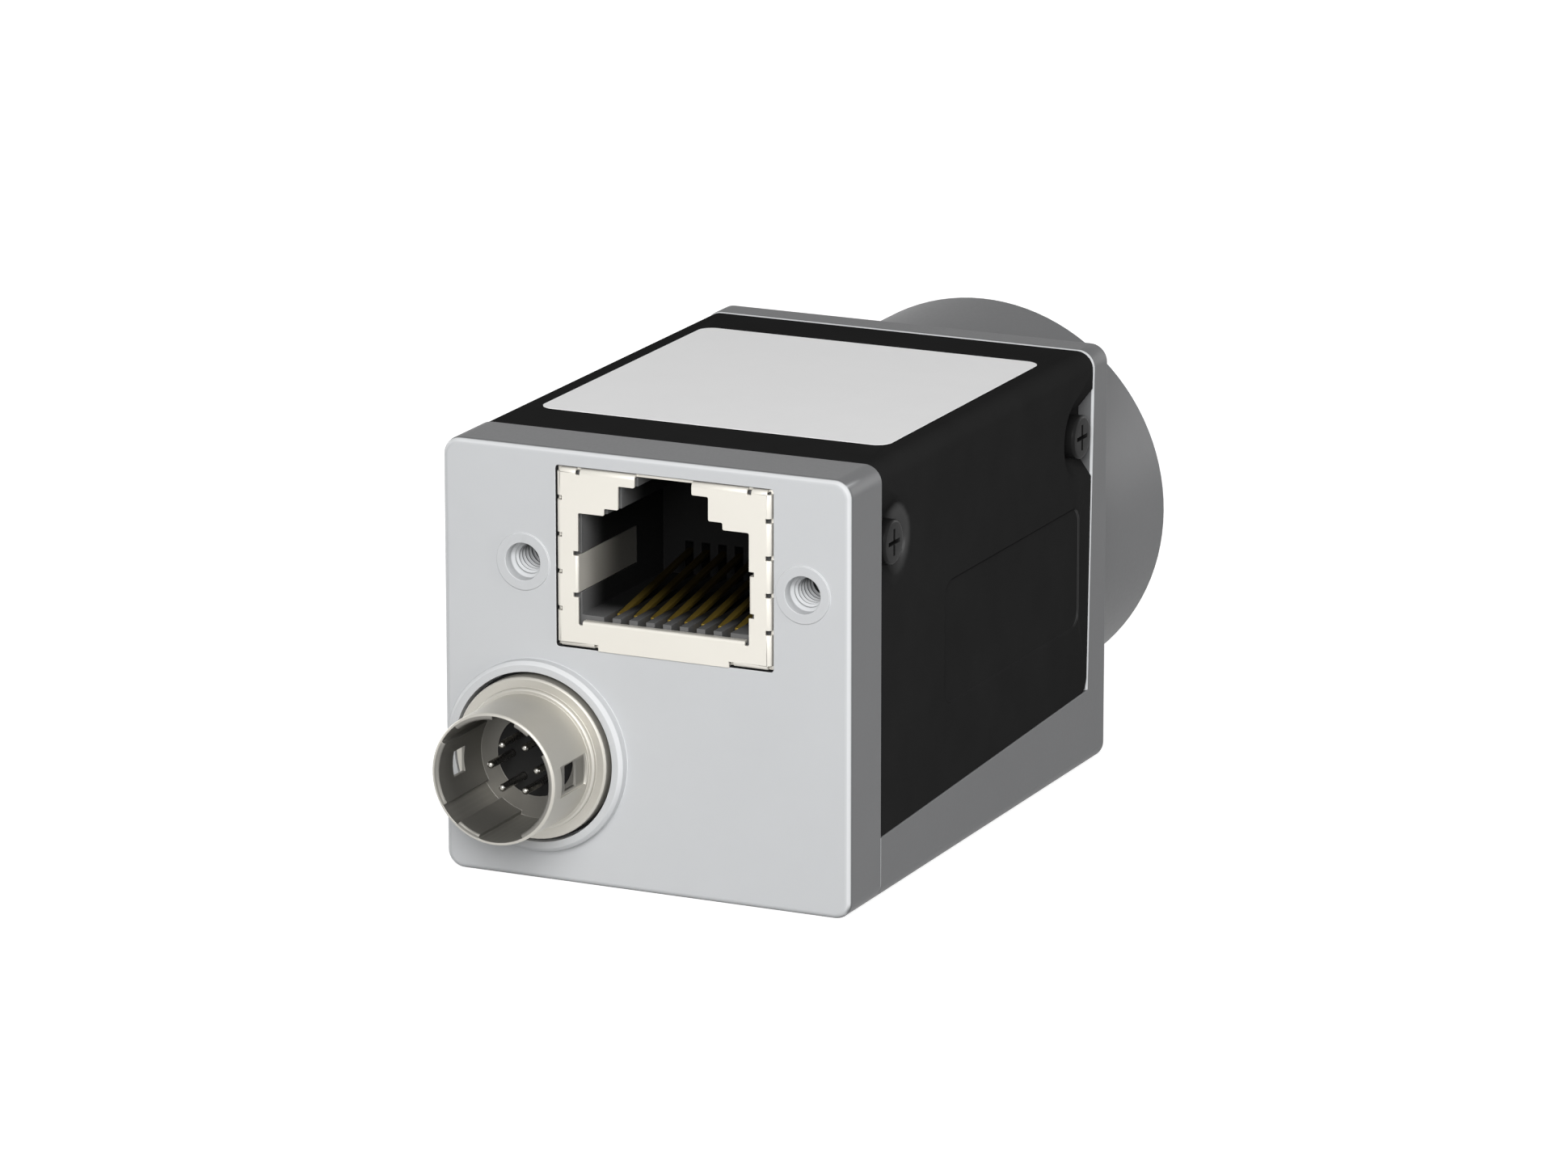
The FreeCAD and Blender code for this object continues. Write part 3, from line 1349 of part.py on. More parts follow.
def power_board():
    """Small upright board on the ends of the pins, and its header to the lying board."""
    start = CORE_TAIL + " - board_thickness"
    board = block("power_board", "power_x - power_board_width / 2", "power_x + power_board_width / 2",
                  LYING_BOARD_FOOT + " - power_board_drop", LYING_BOARD_FOOT,
                  start, "board_thickness")
    header = block("power_header", "power_x - header_width / 2", "power_x + header_width / 2",
                   LYING_BOARD_FOOT + " - header_height", LYING_BOARD_FOOT,
                   start + " - header_depth", "header_depth")
    return [board, header]


def build():
    """Every piece of the camera, outside first."""
    pieces = [front_housing(), top_cover(), rear_plate(), cover_screws(), top_label()]
    pieces += [filter_holder(), filter_glass(), sensor_gasket()]
    pieces += [image_sensor(), sensor_die(), sensor_window()]
    pieces += [upright_board("sensor_board", BOARD_FRONT), board_spacers()]
    pieces += [upright_board("processor_board", SECOND_BOARD_FRONT), board_screws()]
    pieces += electronics()
    pieces += [interface_board()] + board_level_parts()
    pieces += [network_shield(), network_insulator(), network_contacts()]
    pieces += [power_shell(), power_insulator(), power_pins(), power_gasket(), power_nut()]
    pieces += power_board()
    return pieces


def check(pieces):
    """Stop if a feature failed or a piece has no sound solid."""
    doc.recompute()
    for made in doc.Objects:
        if "Invalid" in made.State or "Error" in made.State:
            raise RuntimeError("%s failed" % made.Name)
    for piece in pieces:
        shape = piece.body.Shape
        if shape.isNull() or not shape.isValid() or not shape.Solids:
            raise RuntimeError("%s has no sound solid" % piece.body.Label)


def write(pieces):
    """One STEP file for each piece."""
    os.makedirs("parts", exist_ok=True)
    for piece in pieces:
        piece.body.Shape.exportStep("parts/%s.step" % piece.body.Label)


pieces = build()
check(pieces)
write(pieces)
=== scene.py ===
"""Looks of a machine vision camera, dressed round its construction frame.

The frame's origin is the centre of the lens mount's flange face. The lens points along -Y,
the connectors along +Y, and +Z is up. The scene is in metres. The sizes in the classes of the
pieces and the finishes are in millimetres, and those of the lamps and the studio in metres.
"""
from __future__ import annotations

import logging
import math
from abc import ABC, abstractmethod
from dataclasses import dataclass, field, replace
from enum import Enum
from typing import Any, Iterator, Mapping, Optional, Sequence, Union

import bmesh
import bpy
from mathutils import Matrix, Vector


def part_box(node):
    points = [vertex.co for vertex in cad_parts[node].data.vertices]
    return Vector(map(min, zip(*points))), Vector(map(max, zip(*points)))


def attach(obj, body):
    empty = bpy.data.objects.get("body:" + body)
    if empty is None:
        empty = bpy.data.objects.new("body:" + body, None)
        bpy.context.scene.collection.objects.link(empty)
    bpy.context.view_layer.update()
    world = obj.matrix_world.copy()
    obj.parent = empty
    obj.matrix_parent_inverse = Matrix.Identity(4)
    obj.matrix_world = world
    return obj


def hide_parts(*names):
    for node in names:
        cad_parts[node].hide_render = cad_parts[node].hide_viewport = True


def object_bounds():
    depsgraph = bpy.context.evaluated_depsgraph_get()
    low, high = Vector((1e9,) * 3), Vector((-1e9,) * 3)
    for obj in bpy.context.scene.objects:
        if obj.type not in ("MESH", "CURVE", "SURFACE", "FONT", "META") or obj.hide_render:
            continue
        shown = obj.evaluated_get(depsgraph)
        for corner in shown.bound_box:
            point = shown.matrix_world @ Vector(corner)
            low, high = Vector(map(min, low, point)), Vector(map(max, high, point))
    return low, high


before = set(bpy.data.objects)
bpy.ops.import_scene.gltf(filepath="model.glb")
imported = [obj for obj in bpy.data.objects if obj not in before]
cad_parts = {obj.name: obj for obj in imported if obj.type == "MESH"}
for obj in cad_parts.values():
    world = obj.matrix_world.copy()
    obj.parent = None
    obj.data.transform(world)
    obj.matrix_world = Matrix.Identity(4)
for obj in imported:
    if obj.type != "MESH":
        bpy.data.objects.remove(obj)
CAD_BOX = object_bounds()

log = logging.getLogger("vision_camera")

MM = 0.001
PER_METRE = 1000.0
BODY = "root"
FULL_TURN = 2 * math.pi

Colour = tuple[float, float, float]
Term = Union["Wire", float, Sequence[float]]


def grey(level: float) -> Colour:
    """Neutral colour of one linear level."""
    return (level, level, level)


class Wire:
    """An output socket of a shader, which takes part in sums as a number or a vector does."""

    def __init__(self, graph: Graph, socket: bpy.types.NodeSocket) -> None:
        """Keep the socket and the graph it belongs to."""
        self.graph = graph
        self.socket = socket

    @property
    def is_vector(self) -> bool:
        """True if the socket carries a vector or a colour."""
        return self.socket.type in {"VECTOR", "RGBA"}

    def joined(self, operation: str, first: Term, second: Term) -> Wire:
        """Math or Vector Math node between two terms.

        Args:
            operation: Name of the node's operation.
            first: First term.
            second: Second term.

        Returns:
            The node's result.
        """
        vector = any(isinstance(term, tuple) or isinstance(term, Wire) and term.is_vector
                     for term in (first, second))
        kind = "ShaderNodeVectorMath" if vector else "ShaderNodeMath"
        return self.graph.node(kind, {"operation": operation}, {0: first, 1: second})

    def __add__(self, other: Term) -> Wire:
        """Sum."""
        return self.joined("ADD", self, other)

    def __radd__(self, other: Term) -> Wire:
        """Sum with the wire second."""
        return self.joined("ADD", other, self)

    def __sub__(self, other: Term) -> Wire:
        """Difference."""
        return self.joined("SUBTRACT", self, other)

    def __rsub__(self, other: Term) -> Wire:
        """Difference with the wire second."""
        return self.joined("SUBTRACT", other, self)

    def __mul__(self, other: Term) -> Wire:
        """Product."""
        return self.joined("MULTIPLY", self, other)

    def __rmul__(self, other: Term) -> Wire:
        """Product with the wire second."""
        return self.joined("MULTIPLY", other, self)

    def __pow__(self, other: Term) -> Wire:
        """Power."""
        return self.joined("POWER", self, other)

    def size(self) -> Wire:
        """Size of a number, whatever its sign."""
        return (self ** 2.0) ** 0.5

    def smooth_step(self, low: float, high: float) -> Wire:
        """Soft step from 0 at one value to 1 at another.

        Args:
            low: Value at which the step starts.
            high: Value at which it has ended.

        Returns:
            The step, from 0 to 1.
        """
        return self.graph.node("ShaderNodeMapRange", {"interpolation_type": "SMOOTHSTEP"},
                               {"Value": self, "From Min": low, "From Max": high})

    def spread(self, low: float, high: float) -> Wire:
        """A value from 0 to 1 laid out between two others.

        Args:
            low: Value at 0.
            high: Value at 1.

        Returns:
            The value laid out.
        """
        return self * (high - low) + low


class Graph:
    """Node tree of a material or world, grown from expressions."""

    def __init__(self, owner: Union[bpy.types.Material, bpy.types.World]) -> None:
        """Start with an empty tree.

        Args:
            owner: Material or world that the tree belongs to.
        """
        owner.use_nodes = True
        self.tree = owner.node_tree
        self.tree.nodes.clear()

    def node(self, kind: str, settings: Mapping[str, Any],
             sockets: Mapping[Union[str, int], Term], output: Union[str, int] = 0) -> Wire:
        """Any node: its settings first, then the values or links of its sockets.

        Args:
            kind: Type of the node.
            settings: Attributes of the node, where stops are the stops of its ramp.
            sockets: Values or wires by the name or number of the input.
            output: Name or number of the output that is wanted.

        Returns:
            The output as a wire.
        """
        made = self.tree.nodes.new(kind)
        for name, value in settings.items():
            if name == "stops":
                self.set_stops(made, value)
            else:
                setattr(made, name, value)
        for key, value in sockets.items():
            self.feed(made.inputs[key], value)
        return Wire(self, made.outputs[output])

    def set_stops(self, ramp: bpy.types.Node, stops: Sequence[tuple[float, Colour]]) -> None:
        """Stops of a colour ramp.

        Args:
            ramp: The ramp's node.
            stops: Place and colour of each stop.
        """
        elements = ramp.color_ramp.elements
        while len(elements) < len(stops):
            elements.new(1.0)
        for element, (place, colour) in zip(elements, stops):
            element.position = place
            element.color = (*colour, 1.0)

    def feed(self, socket: bpy.types.NodeSocket, value: Term) -> None:
        """Link a wire to an input, or set the input's value.

        Args:
            socket: The input.
            value: What it gets.
        """
        if isinstance(value, Wire):
            self.tree.links.new(value.socket, socket)
        elif socket.type == "RGBA":
            socket.default_value = (*value, 1.0)
        elif socket.type == "VECTOR" and isinstance(value, (int, float)):
            socket.default_value = (value, value, value)
        else:
            socket.default_value = value

    def place(self) -> Wire:
        """Place on the object, in millimetres."""
        return self.node("ShaderNodeTexCoord", {}, {}, "Object") * PER_METRE

    def axes(self, place: Wire) -> tuple[Wire, Wire, Wire]:
        """The three distances of a place.

        Args:
            place: Vector to take apart.

        Returns:
            Its X, Y and Z.
        """
        split = self.node("ShaderNodeSeparateXYZ", {}, {0: place}, "X")
        outputs = split.socket.node.outputs
        return tuple(Wire(self, outputs[name]) for name in "XYZ")

    def facing(self) -> tuple[Wire, Wire, Wire]:
        """The direction that the surface faces, as its shares along X, Y and Z."""
        return self.axes(self.node("ShaderNodeNewGeometry", {}, {}, "Normal"))

    def vector(self, across: Term, along: Term, up: Term) -> Wire:
        """Vector of three distances.

        Args:
            across: Distance along X.
            along: Distance along Y.
            up: Distance along Z.

        Returns:
            The vector.
        """
        return self.node("ShaderNodeCombineXYZ", {}, {0: across, 1: along, 2: up})

    def noise(self, place: Wire, cells: float, detail: float = 2.0) -> Wire:
        """Cloudy noise from 0 to 1.

        Args:
            place: Where it is read.
            cells: Clouds in a millimetre.
            detail: Finer octaves on top.

        Returns:
            The noise.
        """
        return self.node("ShaderNodeTexNoise", {"noise_dimensions": "3D"},
                         {"Vector": place, "Scale": cells, "Detail": detail}, "Fac")

    def cells(self, place: Wire, count: float, distance: str = "EUCLIDEAN") -> Wire:
        """Distance from the middle of scattered cells.

        Args:
            place: Where it is read.
            count: Cells in a millimetre.
            distance: How the distance is measured: round or square.

        Returns:
            The distance, in cells.
        """
        return self.node("ShaderNodeTexVoronoi", {"distance": distance, "feature": "F1"},
                         {"Vector": place, "Scale": count}, "Distance")

    def blend(self, share: Term, first: Term, second: Term) -> Wire:
        """Mix of two colours.

        Args:
            share: 0 for the first, 1 for the second.
            first: First colour.
            second: Second colour.

        Returns:
            The mixed colour.
        """
        made = self.tree.nodes.new("ShaderNodeMix")
        made.data_type = "RGBA"
        colours = [socket for socket in made.inputs if socket.type == "RGBA"]
        for socket, value in zip([made.inputs[0], *colours], (share, first, second)):
            self.feed(socket, value)
        return Wire(self, [socket for socket in made.outputs if socket.type == "RGBA"][0])

    def end(self, shader: Wire, kind: str = "ShaderNodeOutputMaterial") -> None:
        """Send a shader to the node that ends the graph.

        Args:
            shader: The shader.
            kind: Type of the last node.
        """
        self.feed(self.tree.nodes.new(kind).inputs["Surface"], shader)


@dataclass
class Pattern:
    """What varies over a surface: colour, roughness, height and, if it has one, its gloss coat."""

    colour: Wire
    roughness: Wire
    height: Wire
    coat: Optional[Wire] = None


@dataclass(frozen=True)
class Finish(ABC):
    """A surface of the camera: constant values of its shader, and a pattern laid over it.

    The relief is in millimetres, the cells are counts in a millimetre, and the levels are places
    along the camera in millimetres, between which a surface deep inside is darkened by painted
    shade.
    """

    colour: Colour
    roughness: float
    metallic: float = 0.0
    specular: float = 0.5
    relief: float = 0.004
    cloud: float = 0.05
    cloud_cells: float = 0.25
    grain_cells: float = 4.0
    roughness_swing: float = 0.06
    deep_level: float = 0.0
    mouth_level: float = 0.0
    depth_shade_level: float = 1.0

    @abstractmethod
    def pattern(self, graph: Graph) -> Pattern:
        """Pattern of this kind of surface."""

    def clouded(self, graph: Graph, place: Wire) -> Wire:
        """Colour of the surface with slow, faint clouds, darkened by painted shade away from the
        mouth if it has one.

        Args:
            graph: The material's graph.
            place: Where the clouds are read, in millimetres.

        Returns:
            The colour.
        """
        dark = tuple(part * (1 - self.cloud) for part in self.colour)
        light = tuple(min(1.0, part * (1 + self.cloud)) for part in self.colour)
        colour = graph.blend(graph.noise(place, self.cloud_cells), dark, light)
        # Painted shade: deeper inside, away from the mouth, the colour is darker.
        if self.depth_shade_level < 1:
            _, along, _ = graph.axes(place)
            near = along.smooth_step(self.deep_level, self.mouth_level)
            colour = colour * near.spread(self.depth_shade_level, 1.0)
        return colour

    def rough(self, grain: Wire) -> Wire:
        """Roughness that swings with a grain from 0 to 1."""
        return grain.spread(self.roughness - self.roughness_swing,
                            self.roughness + self.roughness_swing)

    def constants(self) -> dict[str, Any]:
        """Values that are the same all over the surface."""
        return {"Metallic": self.metallic, "Specular IOR Level": self.specular}

    def material(self, name: str) -> bpy.types.Material:
        """Build the material.

        Args:
            name: Name of the material.

        Returns:
            The material.
        """
        material = bpy.data.materials.new(name)
        graph = Graph(material)
        pattern = self.pattern(graph)
        normal = graph.node("ShaderNodeBump", {}, {"Strength": 1.0, "Distance": self.relief * MM,
                                                   "Height": pattern.height})
        sockets = {"Base Color": pattern.colour, "Roughness": pattern.roughness, "Normal": normal}
        if pattern.coat is not None:
            sockets["Coat Weight"] = pattern.coat
        graph.end(graph.node("ShaderNodeBsdfPrincipled", {}, {**self.constants(), **sockets}))
        return material


@dataclass(frozen=True)
class CoatedCasting(Finish):
    """Powder coat on a casting: fine orange peel, with a painted highlight, a paler colour, on the
    edges toward the connectors that do not face down.

    An edge is told by its slope, the share of its direction that points along the camera or up.
    """

    painted_highlight_colour: Optional[Colour] = None
    highlight_starts: tuple[float, float] = (0.35, 0.6)
    highlight_ends: tuple[float, float] = (0.85, 0.97)
    highlight_upward: tuple[float, float] = (-0.4, 0.0)
    fine_share: float = 0.4
    fine_ratio: float = 4.0

    def ground(self, graph: Graph, place: Wire) -> Wire:
        """Colour of the coat, edges left aside."""
        return self.clouded(graph, place)

    def pattern(self, graph: Graph) -> Pattern:
        """Fine peel with slow clouds, and the painted highlight on the edges.

        Args:
            graph: The material's graph.

        Returns:
            The pattern.
        """
        place = graph.place()
        peel = graph.noise(place, self.grain_cells, 3.0)
        fine = graph.noise(place, self.fine_ratio * self.grain_cells)
        colour = self.ground(graph, place)
        if self.painted_highlight_colour:
            # Painted highlight: bevels that face the connectors, but not downward, get the paler
            # edge colour.
            _, rearward, upward = graph.facing()
            face = rearward.smooth_step(*self.highlight_ends)
            edge = rearward.smooth_step(*self.highlight_starts) * (1.0 - face)
            painted_highlight_mask = edge * upward.smooth_step(*self.highlight_upward)
            colour = graph.blend(painted_highlight_mask, colour, self.painted_highlight_colour)
        return Pattern(colour, self.rough(peel), peel + self.fine_share * fine)


@dataclass(frozen=True)
class CoatedSheet(CoatedCasting):
    """Powder-coated sheet, whose slopes that face the connectors are rubbed glossy."""

    gloss: float = 0.6
    gloss_roughness: float = 0.32
    gloss_slope: tuple[float, float] = (0.15, 0.5)

    def constants(self) -> dict[str, Any]:
        """Values that are the same all over the sheet, with the roughness of its gloss."""
        return {**super().constants(), "Coat Roughness": self.gloss_roughness}

    def pattern(self, graph: Graph) -> Pattern:
        """The coat of a casting with the gloss of its slopes.

        Args:
            graph: The material's graph.

        Returns:
            The pattern.
        """
        coat = super().pattern(graph)
        _, rearward, _ = graph.facing()
        return replace(coat, coat=rearward.smooth_step(*self.gloss_slope) * self.gloss)


@dataclass(frozen=True)
class FacedCasting(CoatedCasting):
    """Powder-coated casting whose connector face is painted paler than its flanks, as painted light
    for the stronger light on the face.

    The painted paler colour also reaches into the mouths of the holes, but not into the narrow gap
    round the piece that fills the opening, whose walls get painted shade.
    """

    lit_face_colour: Colour = grey(0.56)
    face_level: float = 53.8
    face_edge: float = 0.3
    hole_depth: float = 2.6
    flank_level: float = 14.3
    opening: str = "network_shield"
    opening_rim: float = 0.3
    opening_fade: float = 0.1
    gap_shade_level: float = 0.06
    wall_slope: tuple[float, float] = (0.2, 0.6)

    def ground(self, graph: Graph, place: Wire) -> Wire:
        """The coat of the flanks, mixed with the painted paler colour on the face and in the holes'
        mouths, and darkened by painted shade on the walls of the gap round the socket.

        Args:
            graph: The material's graph.
            place: Where the coat is read, in millimetres.

        Returns:
            The colour.
        """
        across, along, up = graph.axes(place)
        reach = graph.node("ShaderNodeMath", {"operation": "MAXIMUM"},
                           {0: across ** 2.0, 1: up ** 2.0}) ** 0.5
        on_flank = reach.smooth_step(self.flank_level - self.face_edge, self.flank_level)
        edge = self.face_level - self.face_edge
        in_holes = along.smooth_step(self.face_level - self.hole_depth, edge) * (1.0 - on_flank)
        on_face = in_holes + along.smooth_step(edge, self.face_level) * on_flank
        # Painted light: the face and the holes' mouths get a paler colour, standing in for the
        # stronger light on the face.
        painted_face_light = graph.blend(graph.noise(place, self.cloud_cells),
                           tuple(part * (1 - self.cloud / 2) for part in self.lit_face_colour),
                           tuple(part * (1 + self.cloud / 2) for part in self.lit_face_colour))
        coat = graph.blend(on_face, self.clouded(graph, place), painted_face_light)
        # Painted shade: the walls of the gap round the socket are darkened.
        return coat * (1.0 - self.painted_gap_shade(graph, across, up)).spread(self.gap_shade_level, 1.0)

    def painted_gap_shade(self, graph: Graph, across: Wire, up: Wire) -> Wire:
        """Mask of painted shade on the narrow walls round the socket, where hardly any light falls.

        Args:
            graph: The material's graph.
            across: Place along X.
            up: Place along Z.

        Returns:
            The mask, from 0 to 1.
        """
        low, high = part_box(self.opening)
        _, rearward, _ = graph.facing()
        shade_mask = 1.0 - rearward.smooth_step(*self.wall_slope)
        for where, first, last in ((across, low.x, high.x), (up, low.z, high.z)):
            centre = (first + last) / 2 / MM
            reach = (last - first) / 2 / MM + self.opening_rim
            beyond = (where - centre).size().smooth_step(reach, reach + self.opening_fade)
            shade_mask = shade_mask * (1.0 - beyond)
        return shade_mask


@dataclass(frozen=True)
class Moulding(Finish):
    """Moulded plastic with the fine spark texture of its tool."""

    def pattern(self, graph: Graph) -> Pattern:
        """Even spark texture.

        Args:
            graph: The material's graph.

        Returns:
            The pattern.
        """
        place = graph.place()
        spark = graph.noise(place, self.grain_cells, 4.0)
        return Pattern(self.clouded(graph, place), self.rough(spark), spark)


@dataclass(frozen=True)
class RolledSheet(Finish):
    """Plated sheet or wire with faint drawing lines along one axis."""

    stretch: tuple[float, float, float] = (0.12, 1.0, 1.0)
    streak_share: float = 0.6
    blotch_ratio: float = 4.0

    def pattern(self, graph: Graph) -> Pattern:
        """Long fine streaks and slow clouds of the plating.

        Args:
            graph: The material's graph.

        Returns:
            The pattern.
        """
        place = graph.place()
        streaks = graph.noise(place * self.stretch, self.grain_cells, 3.0)
        blotch = graph.noise(place, self.blotch_ratio * self.cloud_cells)
        both = self.streak_share * streaks + (1 - self.streak_share) * blotch
        return Pattern(self.clouded(graph, place), self.rough(both), streaks)


@dataclass(frozen=True)
class TurnedMetal(Finish):
    """Turned metal with the tool's rings about an axis along Y, and painted shade inside its bore
    if it has one.
    """

    axis_x: float = 0.0
    axis_z: float = 0.0
    bore_radius: float = 0.0
    bore_fade: float = 0.1
    bore_shade_level: float = 0.42

    def pattern(self, graph: Graph) -> Pattern:
        """Rings that follow the distance from the axis and the place along it, with painted shade
        in the bore.

        Args:
            graph: The material's graph.

        Returns:
            The pattern.
        """
        place = graph.place()
        across, along, up = graph.axes(place)
        reach = ((across - self.axis_x) ** 2 + (up - self.axis_z) ** 2) ** 0.5
        rings = graph.noise(graph.vector(reach, along, 0.0), self.grain_cells, 2.0)
        colour = self.clouded(graph, place)
        # Painted shade: the inside of the bore is darkened.
        if self.bore_radius:
            outside = reach.smooth_step(self.bore_radius, self.bore_radius + self.bore_fade)
            colour = colour * outside.spread(self.bore_shade_level, 1.0)
        return Pattern(colour, self.rough(rings), rings)


@dataclass(frozen=True)
class PrintedFilm(Finish):
    """Laminated film of a label: a faint fibre under a clear satin top."""

    coat: float = 0.06
    coat_roughness: float = 0.45
    stretch: tuple[float, float, float] = (1.0, 0.35, 1.0)

    def constants(self) -> dict[str, Any]:
        """Values that are the same all over the film, with its clear top."""
        return {**super().constants(), "Coat Weight": self.coat,
                "Coat Roughness": self.coat_roughness}

    def pattern(self, graph: Graph) -> Pattern:
        """Fibres stretched along the film.

        Args:
            graph: The material's graph.

        Returns:
            The pattern.
        """
        place = graph.place()
        fibre = graph.noise(place * self.stretch, self.grain_cells, 4.0)
        return Pattern(self.clouded(graph, place), self.rough(fibre), fibre)


@dataclass(frozen=True)
class SoftSheet(Finish):
    """Rubber or foam with open pores."""

    pore_cells: float = 6.0
    pore_size: float = 0.5

    def pattern(self, graph: Graph) -> Pattern:
        """Round pores over a mottled ground.

        Args:
            graph: The material's graph.

        Returns:
            The pattern.
        """
        place = graph.place()
        pores = graph.cells(place, self.pore_cells).smooth_step(0.0, self.pore_size)
        mottle = graph.noise(place, self.grain_cells)
        return Pattern(self.clouded(graph, place), self.rough(mottle), pores)


@dataclass(frozen=True)
class BoardMask(Finish):
    """Solder mask over copper tracks and fills."""

    track_cells: float = 1.6
    track_edge: tuple[float, float] = (0.30, 0.34)
    copper: Colour = (0.03, 0.16, 0.06)

    def pattern(self, graph: Graph) -> Pattern:
        """Raised copper under the mask, with paler green where it lies.

        Args:
            graph: The material's graph.

        Returns:
            The pattern.
        """
        place = graph.place()
        tracks = graph.cells(place, self.track_cells, "CHEBYCHEV").smooth_step(*self.track_edge)
        colour = graph.blend(tracks, self.clouded(graph, place), self.copper)
        return Pattern(colour, self.rough(graph.noise(place, self.grain_cells)), tracks)


@dataclass(frozen=True)
class ClearGlass(Finish):
    """Optical glass with a faint coating and hardly any waviness."""

    index: float = 1.5

    def constants(self) -> dict[str, Any]:
        """Values that are the same all over the glass."""
        return {**super().constants(), "Transmission Weight": 1.0, "IOR": self.index}

    def pattern(self, graph: Graph) -> Pattern:
        """Slow polish marks.

        Args:
            graph: The material's graph.

        Returns:
            The pattern.
        """
        place = graph.place()
        polish = graph.noise(place, self.grain_cells)
        high = self.roughness + self.roughness_swing
        return Pattern(self.clouded(graph, place), polish.spread(self.roughness, high), polish)


@dataclass(frozen=True)
class SensorSilicon(Finish):
    """Silicon with a fine pixel field that shimmers faintly."""

    field_cells: float = 9.0
    hues: tuple[tuple[float, Colour], ...] = ((0.3, (0.05, 0.07, 0.12)), (0.55, (0.09, 0.07, 0.11)),
                                              (0.8, (0.05, 0.11, 0.09)))

    def pattern(self, graph: Graph) -> Pattern:
        """Fine cells and a slow change of hue over the die.

        Args:
            graph: The material's graph.

        Returns:
            The pattern.
        """
        place = graph.place()
        pixels = graph.cells(place, self.field_cells, "CHEBYCHEV")
        hue = graph.node("ShaderNodeValToRGB", {"stops": self.hues},
                         {"Fac": graph.noise(place, self.cloud_cells)})
        high = self.roughness + self.roughness_swing
        return Pattern(hue, pixels.spread(self.roughness, high), pixels)


class Slot(Enum):
    """Material slots of the record."""

    HOUSING = "housing_paint"
    COVER = "cover_paint"
    REAR = "rear_paint"
    SCREW = "screw_black"
    LABEL = "label_film"
    HOLDER = "holder_plastic"
    FILTER = "filter_glass"
    FOAM = "gasket_foam"
    CERAMIC = "ceramic"
    SILICON = "silicon"
    WINDOW = "sensor_glass"
    BOARD = "board_green"
    CHIP = "chip_black"
    LINK = "connector_black"
    SPACER = "spacer_brass"
    INNER_SCREW = "inner_screw"
    PAD = "pad_soft"
    SHIELD = "shield_metal"
    INSERT = "insert_black"
    CONTACT = "contact_gold"
    SHELL = "shell_nickel"
    CORE = "core_black"
    PIN = "pin_gold"
    SEAL = "seal_rubber"


def middle(node: str) -> Vector:
    """Centre of a construction node's box."""
    low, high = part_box(node)
    return (low + high) / 2


CONNECTOR_AXIS = middle("power_shell")
CASTING_GREY = (0.148, 0.150, 0.153)

